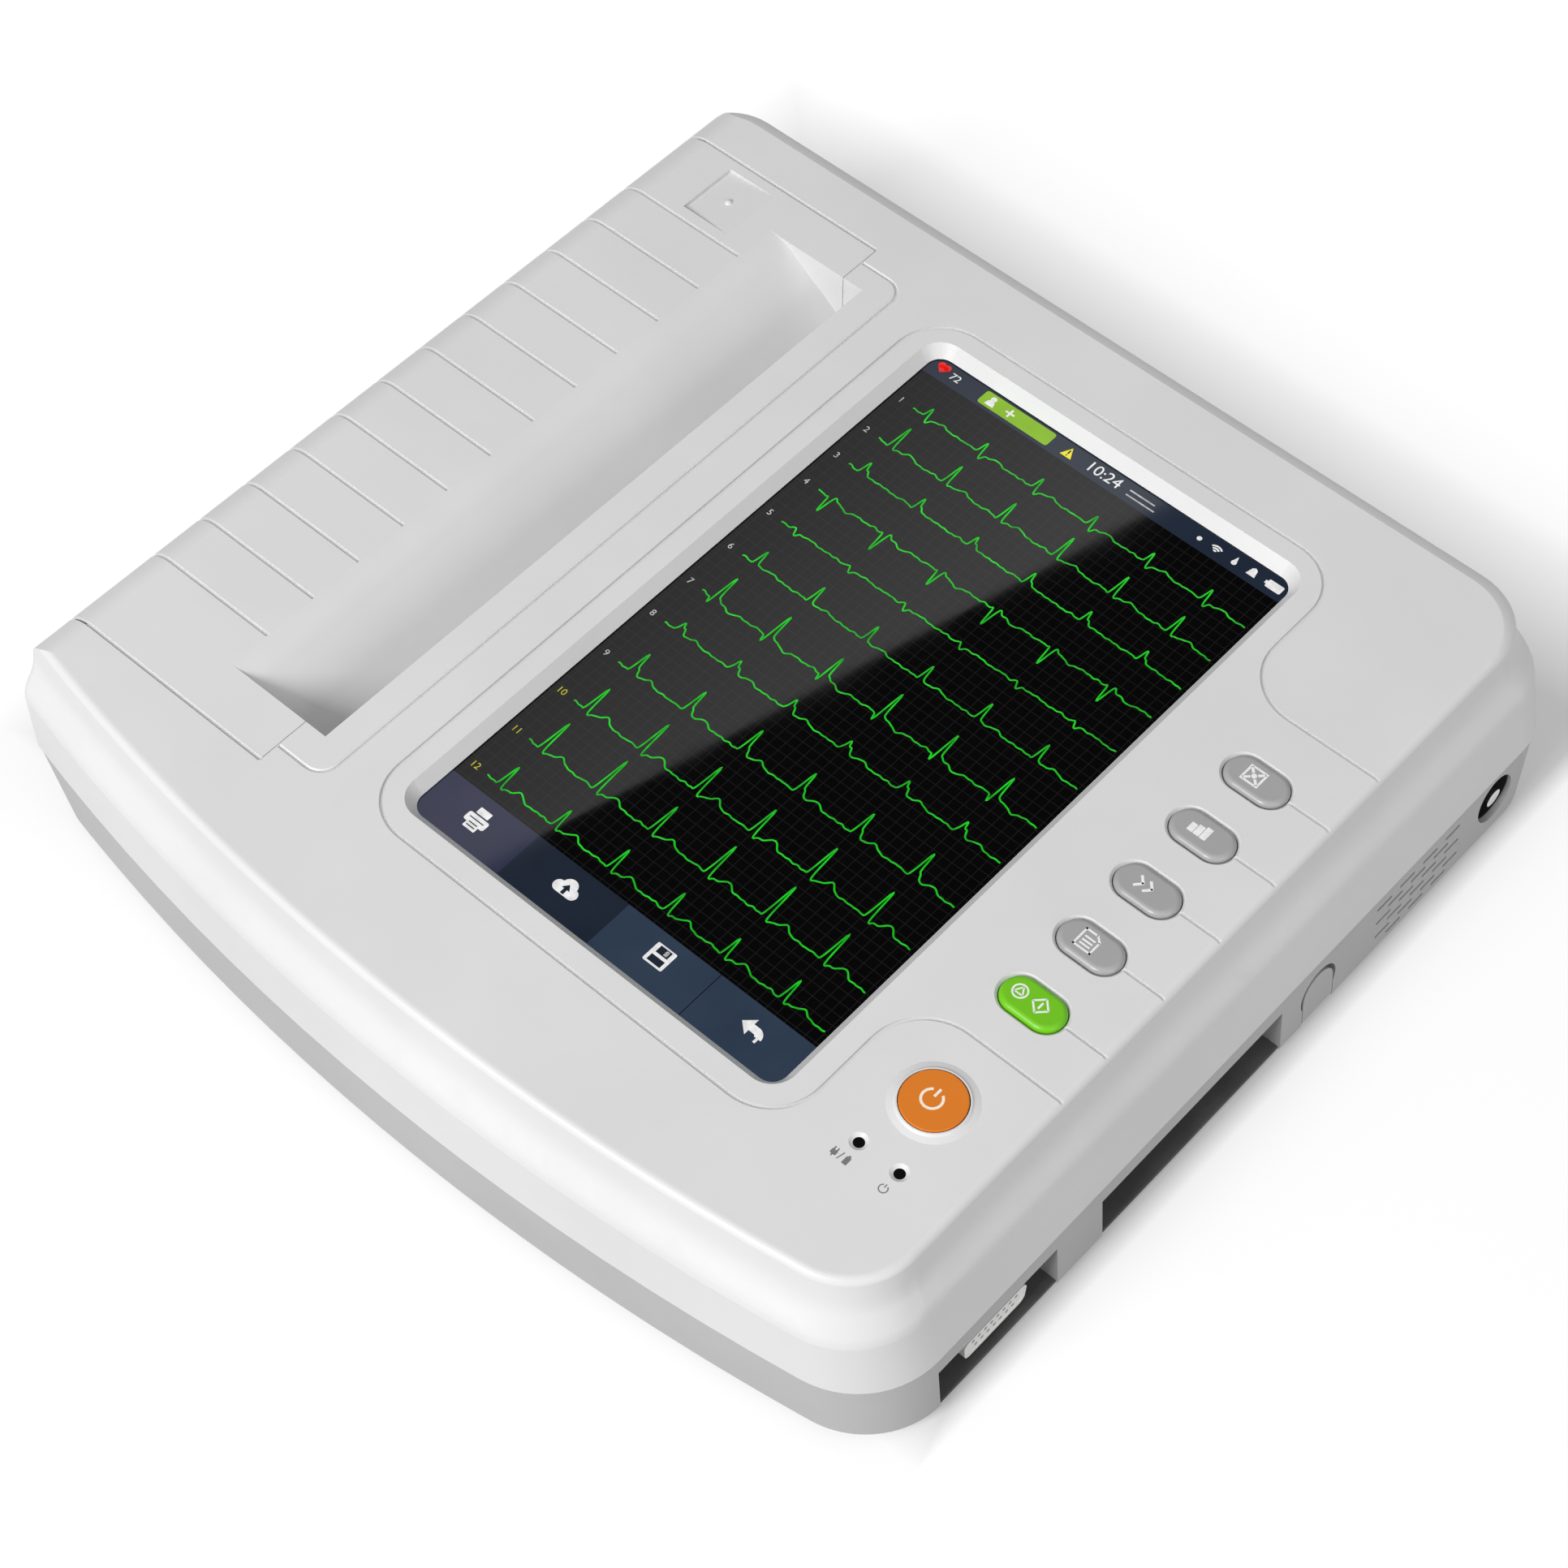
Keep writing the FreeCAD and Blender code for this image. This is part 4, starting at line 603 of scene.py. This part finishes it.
def start_sign(bm):
    """Ring round a triangle, and a diamond round a stroke."""
    ring(bm, -3.4, 0, 2.1, 0.5)
    angles = (math.pi / 2, math.pi * 7 / 6, -math.pi / 6)
    corners = [(-3.4 + 1.6 * math.cos(a), 1.6 * math.sin(a)) for a in angles]
    for i in range(3):
        bar(bm, *corners[i - 1], *corners[i], 0.45)
    points = [(3.4, 2.6), (0.8, 0), (3.4, -2.6), (6.0, 0)]
    for i in range(4):
        bar(bm, *points[i - 1], *points[i], 0.55)
    bar(bm, 3.4, -1.1, 3.4, 1.1, 0.6)


def power_sign(bm, size):
    """Broken ring with an upright stroke."""
    ring(bm, 0, 0, 2.9 * size, 0.75 * size, 122, 296)
    bar(bm, 0, 0.9 * size, 0, 3.6 * size, 0.75 * size)


def key_signs():
    """Printed sign on top of each key and of the power button."""
    for node, draw in (("lead_key", lead_sign), ("gain_key", gain_sign), ("speed_key", speed_sign),
                       ("report_key", report_sign), ("start_key", start_sign)):
        bm = bmesh.new()
        draw(bm)
        _, middle, high = box_mm(node)
        place_piece(node + "_sign", bm, key_ink, node + "_cap",
                    middle.x - 1.2, middle.y + 0.2, high.z)
    bm = bmesh.new()
    power_sign(bm, 1.0)
    _, middle, high = box_mm("power_button")
    place_piece("power_sign", bm, cap_ink, "power_cap", middle.x - 0.6, middle.y, high.z)


def lamp_signs():
    """Small printed signs in front of the two lamps: mains and battery, and power."""
    low, middle, high = box_mm("indicator_lenses")
    y = middle.y - LAMP_TO_SIGN
    bm = bmesh.new()
    # Two-pin plug, stroke, battery
    tile(bm, -2.9, -1.0, -1.1, 0.4, 0.3)
    for x in (-2.5, -1.5):
        bar(bm, x, 0.3, x, 1.3, 0.4)
    bar(bm, -2.0, -1.6, -2.0, -1.0, 0.4)
    bar(bm, -0.3, -1.3, 0.3, 1.3, 0.3)
    tile(bm, 1.3, -1.4, 2.8, 1.0, 0.2)
    bar(bm, 2.05, 1.0, 2.05, 1.5, 0.7)
    place_piece("supply_lamp_sign", bm, sign_ink, "case", low.x + 0.9, y, COVER_TOP)
    bm = bmesh.new()
    power_sign(bm, 0.42)
    place_piece("power_lamp_sign", bm, sign_ink, "case", high.x - 1.7, y, COVER_TOP)


# Contacts in the sockets of the right wall, and dark linings there that are painted shade

# Turns marks drawn flat so that they face the right wall: drawn X runs to the rear, drawn Y up.
FACE_RIGHT = Matrix(((0, 0, 1, 0), (1, 0, 0, 0), (0, 1, 0, 0), (0, 0, 0, 1)))

# Rows of contact holes: how many, and their height over the middle of the plug.
CONTACT_ROWS = ((8, 1.5), (7, -1.5))
CONTACT_PITCH = 2.5
CONTACT_RADIUS = 0.6
PLUG_LIP = 0.3


def lead_contacts():
    """Two rows of contact holes in the face of the patient plug, inside its lip, drawn as grey discs: painted
    shade of the holes.
    """
    bm = bmesh.new()
    for count, height in CONTACT_ROWS:
        for i in range(count):
            disc(bm, (i - (count - 1) / 2) * CONTACT_PITCH, height, CONTACT_RADIUS)
    bmesh.ops.transform(bm, matrix=FACE_RIGHT, verts=bm.verts)
    _, middle, high = box_mm("patient_connector")
    place_piece("lead_contacts", bm, contact_hole_painted_shade, "case", high.x - PLUG_LIP, middle.y, middle.z)


# Front and rear of each recess, the depth they share, and the dark strip along their foot, which is painted
# shade: it stands for the shadow deep in each recess.
RECESSES = ((-118.1, -70.2), (-51.3, 27.0))
RECESS_BACK = 147.6
SHADE_PAD_INSET = 0.6
SHADE_PAD_LOW, SHADE_PAD_HIGH = 0.2, 1.0
SHADE_PAD_ROUND = 0.5


def recess_painted_shade_pads():
    """Dark strip along the foot of each recess in the right wall, rounded along its outer edge: painted shade
    that stands for the shadow deep in the recess.
    """
    low, _, high = box_mm("socket_panel")
    outer = high.x - SHADE_PAD_INSET
    x = (RECESS_BACK + outer) / 2
    z = low.z + (SHADE_PAD_LOW + SHADE_PAD_HIGH) / 2
    bm = bmesh.new()
    for front, rear in RECESSES:
        edges = block_between(bm, (RECESS_BACK, front, low.z + SHADE_PAD_LOW), (outer, rear, low.z + SHADE_PAD_HIGH))
        upper_outer = [e for e in edges if all(v.co.x > x and v.co.z > z for v in e.verts)]
        bmesh.ops.bevel(bm, geom=upper_outer, offset=SHADE_PAD_ROUND, affect="EDGES", segments=4, profile=0.5,
                        material=-1)
    place_piece("recess_painted_shade_pads", bm, shade_pad_finish, "case", 0, 0, 0)


# Sizes of a black sleeve and washer in the hole round the earth post, which are painted shade: they darken
# the hole.
SLEEVE_RADIUS, SLEEVE_WALL, SLEEVE_LENGTH = 7.75, 0.4, 9.8
WASHER_RADIUS, WASHER_WIDTH = 6.3, 2.4
WASHER_CLEAR = 0.05


def earth_hole_painted_shade():
    """Black sleeve inside the recess of the earth post, with a washer at its back, which are painted shade
    that darkens the hole round the post.
    """
    bm = bmesh.new()
    ring(bm, 0, 0, SLEEVE_RADIUS, SLEEVE_WALL)
    bmesh.ops.transform(bm, matrix=Matrix.Diagonal((1, 1, SLEEVE_LENGTH / INK, 1)), verts=bm.verts)
    ring(bm, 0, 0, WASHER_RADIUS, WASHER_WIDTH)
    bmesh.ops.transform(bm, matrix=FACE_RIGHT, verts=bm.verts)
    low, middle, _ = box_mm("earth_post")
    place_piece("earth_hole_painted_shade", bm, black_abs, "case", low.x + WASHER_CLEAR, middle.y, middle.z)


# Edges of the lid, the paper trough and the exit frame, and the width of the seams round them.
LID_LEFT, LID_RIGHT, LID_FRONT, LID_REAR = -150.5, -80.5, -120.85, 132.95
TROUGH_FRONT, TROUGH_REAR, TROUGH_LOW = -104.15, 117.85, 48.0
EXIT_FRONT, EXIT_REAR, EXIT_RIGHT, EXIT_CORNER = -114.35, 126.15, -63.5, 6.0
SEAM = 0.5
STRIP = 0.36
# Lower and upper faces of the strips along the lid and across its end, and lower face of the exit's strips.
ALONG_LOW, ALONG_HIGH = COVER_TOP - 1.2, COVER_TOP - 0.6
ACROSS_LOW, ACROSS_HIGH = COVER_TOP - 1.0, COVER_TOP - 0.3
EXIT_LOW = COVER_TOP - 0.55


def seam_strips():
    """Pale strips low in the seams of the lid and the exit frame, which close the view into the dark case."""
    half = STRIP / 2
    bm = bmesh.new()
    for y in (LID_FRONT - SEAM / 2, LID_REAR + SEAM / 2):
        block_between(bm, (LID_LEFT, y - half, ALONG_LOW), (LID_RIGHT, y + half, ALONG_HIGH))
    x = LID_RIGHT + SEAM / 2
    for y0, y1 in ((LID_FRONT - SEAM, TROUGH_FRONT), (TROUGH_REAR, LID_REAR + SEAM)):
        block_between(bm, (x - half, y0, ACROSS_LOW), (x + half, y1, ACROSS_HIGH))
    # Down the two ends of the trough
    for y in (TROUGH_FRONT - 0.4, TROUGH_REAR + 0.4):
        block_between(bm, (x - half, y - 0.2, TROUGH_LOW), (x + half, y + 0.2, ACROSS_LOW))
    place_piece("lid_seam_strips", bm, light_shell, "case", 0, 0, 0)
    bm = bmesh.new()
    turn_x = EXIT_RIGHT - EXIT_CORNER
    turn_front, turn_rear = EXIT_FRONT + EXIT_CORNER, EXIT_REAR - EXIT_CORNER
    for y, turn_y, start in ((EXIT_FRONT - SEAM / 2, turn_front, 270), (EXIT_REAR + SEAM / 2, turn_rear, 0)):
        bar(bm, LID_RIGHT + SEAM, y, turn_x, y, STRIP)
        ring(bm, turn_x, turn_y, EXIT_CORNER + SEAM / 2, STRIP, start, 90)
    bar(bm, EXIT_RIGHT + SEAM / 2, turn_front, EXIT_RIGHT + SEAM / 2, turn_rear, STRIP)
    place_piece("exit_seam_strips", bm, light_shell, "case", 0, 0, EXIT_LOW)


# Width of one data socket, then sizes of its tongue and of one of the four contact strips under it.
DATA_SOCKET = 14.4
TONGUE = (10.0, 10.6, 1.6)
TONGUE_ROUND = 0.25
DATA_STRIP = (7.0, 1.1, 0.12)
DATA_STRIP_PITCH = 2.4


def data_tongues():
    """Tongue and four gilt strips inside each data socket."""
    low, middle, high = box_mm("usb_sockets")
    tongues = bmesh.new()
    strips = bmesh.new()
    x = high.x - 6.0
    z = middle.z + 0.7
    for y in (low.y + DATA_SOCKET / 2, high.y - DATA_SOCKET / 2):
        edges = block(tongues, (x, y, z), TONGUE)
        bmesh.ops.bevel(tongues, geom=list(edges), offset=TONGUE_ROUND, affect="EDGES", segments=2,
                        profile=0.5, material=-1)
        for i in range(4):
            block(strips, (x + 0.4, y + (i - 1.5) * DATA_STRIP_PITCH, z - 0.84), DATA_STRIP)
    place_piece("data_tongues", tongues, white_plug, "case", 0, 0, 0)
    place_piece("data_contacts", strips, gold, "case", 0, 0, 0)


WIRES = 8
WIRE_PITCH = 1.02
WIRE = (9.0, 0.45, 0.35)
WIRE_SLOPE = 14


def network_contacts():
    """Eight sprung wires that slope down from the roof of the network socket."""
    _, middle, high = box_mm("network_socket")
    bm = bmesh.new()
    for i in range(WIRES):
        y = middle.y + (i - (WIRES - 1) / 2) * WIRE_PITCH
        block(bm, (high.x - 5.5, y, high.z - 4.2), WIRE, WIRE_SLOPE)
    place_piece("network_contacts", bm, gold, "case", 0, 0, 0)


status_bar()
lead_traces()
lead_numbers()
menu_tiles()
key_signs()
lamp_signs()
lead_contacts()
recess_painted_shade_pads()
earth_hole_painted_shade()
seam_strips()
data_tongues()
network_contacts()


# Floor, cards, lights and camera, all in metres

def flat_stage(name, corners, mat):
    """Flat sheet of the studio through its corners."""
    bm = bmesh.new()
    bm.faces.new([bm.verts.new(c) for c in corners])
    mesh = bpy.data.meshes.new(name)
    bm.to_mesh(mesh)
    bm.free()
    mesh.materials.append(mat)
    sheet = bpy.data.objects.new(name, mesh)
    bpy.context.scene.collection.objects.link(sheet)
    return sheet


def seen_only_in_gloss(sheet):
    """Leaves a card to be seen only as a reflection."""
    sheet.visible_camera = False
    sheet.visible_diffuse = False
    sheet.visible_shadow = False
    sheet.visible_transmission = False


# Painted shadow: the floor's glow is set low under the case and rises with distance from its sides, so a soft
# dark line follows its foot. It is drawn by place on the floor and cast by no lamp. Each row is an axis,
# where the glow starts to rise, where it has risen, and how far.
GLOW_IN_PAINTED_SHADOW = 0.26
PAINTED_SHADOW_EDGES = (
    ("X", 0.162, 0.1685, 0.59), ("Y", 0.18, 0.235, 0.7),
    ("Y", -0.115, -0.135, 0.57), ("X", -0.15, -0.2, 0.66),
)
floor_paint = new_material("studio_floor_painted_shadow")
spot = add(floor_paint, "SeparateXYZ", {"Vector": add(floor_paint, "TexCoord").outputs["Object"]})
glow_with_painted_shadow = GLOW_IN_PAINTED_SHADOW
for axis, near, far, glow in PAINTED_SHADOW_EDGES:
    rise = add(floor_paint, "MapRange", {"Value": spot.outputs[axis], "From Min": near, "From Max": far,
                                         "To Min": GLOW_IN_PAINTED_SHADOW, "To Max": glow})
    brighter = add(floor_paint, "Math", {0: glow_with_painted_shadow, 1: rise.outputs["Result"]}, operation="MAXIMUM")
    glow_with_painted_shadow = brighter.outputs["Value"]
surface(floor_paint, "BsdfPrincipled", {
    "Base Color": linear(0xAEAEAE), "Roughness": 0.9, "IOR": 1.2, "Emission Color": linear(0xFFFFFF),
    "Emission Strength": glow_with_painted_shadow})
floor = flat_stage("floor", [(-5, -5, 0), (5, -5, 0), (5, 5, 0), (-5, 5, 0)], floor_paint)
# The lit floor throws no light back on the walls, which stay as grey as in the photograph.
floor.visible_diffuse = False

# The glass mirrors a pale card on the left and a black one on the right, and their edges meet in a slant.
CARD_Z = 0.9
FLAG_Z = CARD_Z + 0.01
CARD_WIDTH = 0.6
glare_rear = Vector((-0.3358, 0.7174))
glare_front = Vector((-0.4549, 0.2622))
along = glare_rear - glare_front
rear_end = glare_rear + along
front_end = glare_front - along
glare = new_material("glare_card")
reach = add(glare, "SeparateXYZ", {"Vector": add(glare, "TexCoord").outputs["Object"]})
fade = add(glare, "MapRange", {"Value": reach.outputs["X"], "From Min": -0.56, "From Max": -0.36,
                               "To Min": 0.45, "To Max": 1.1})
surface(glare, "Emission", {"Color": linear(0xFFFFFF), "Strength": fade.outputs["Result"]})
pale_card = flat_stage("glare_card", [
    (front_end.x - CARD_WIDTH, front_end.y, CARD_Z), (front_end.x, front_end.y, CARD_Z),
    (rear_end.x, rear_end.y, CARD_Z), (rear_end.x - CARD_WIDTH, rear_end.y, CARD_Z)], glare)
dark = new_material("black_flag")
surface(dark, "BsdfPrincipled", {"Base Color": linear(0x020202), "Roughness": 1.0})
black_card = flat_stage("black_flag", [
    (-0.9, 0.0, FLAG_Z), (0.0, 0.0, FLAG_Z), (0.0, 1.0, FLAG_Z), (-0.9, 1.0, FLAG_Z)], dark)
seen_only_in_gloss(pale_card)
seen_only_in_gloss(black_card)

world = bpy.data.worlds.new("studio")
world.use_nodes = True
world.node_tree.nodes["Background"].inputs["Color"].default_value = linear(0xFFFFFF)
world.node_tree.nodes["Background"].inputs["Strength"].default_value = 0.35
bpy.context.scene.world = world


def soft_box(name, place, aim, size, power):
    """Square lamp at a place, aimed at a point, with its size in metres and its power in watts."""
    lamp = bpy.data.lights.new(name, "AREA")
    lamp.shape = "SQUARE"
    lamp.size = size
    lamp.energy = power
    holder = bpy.data.objects.new(name, lamp)
    holder.location = place
    holder.rotation_euler = (Vector(aim) - Vector(place)).to_track_quat("-Z", "Y").to_euler()
    bpy.context.scene.collection.objects.link(holder)


soft_box("front_soft_box", (-0.15, -2.45, 1.72), (0, 0, 0.03), 1.2, 70.0)
soft_box("overhead_soft_box", (0, 0.2, 2.5), (0, 0, 0.05), 1.6, 6.0)
soft_box("right_soft_box", (2.2, -0.6, 1.0), (0, 0, 0.03), 1.2, 12.5)

# Place, aim and lens come from the straight edges of the case in the photograph.
camera = bpy.data.cameras.new("camera")
camera.sensor_fit = "HORIZONTAL"
camera.sensor_width = 36.0
camera.lens = 81.376
viewer = bpy.data.objects.new("camera", camera)
viewer.location = (0.40026, -0.44566, 0.84603)
viewer.rotation_euler = Vector((-0.38735, 0.43277, -0.81405)).to_track_quat("-Z", "Y").to_euler()
bpy.context.scene.collection.objects.link(viewer)
bpy.context.scene.camera = viewer
bpy.context.scene.view_settings.view_transform = "Standard"
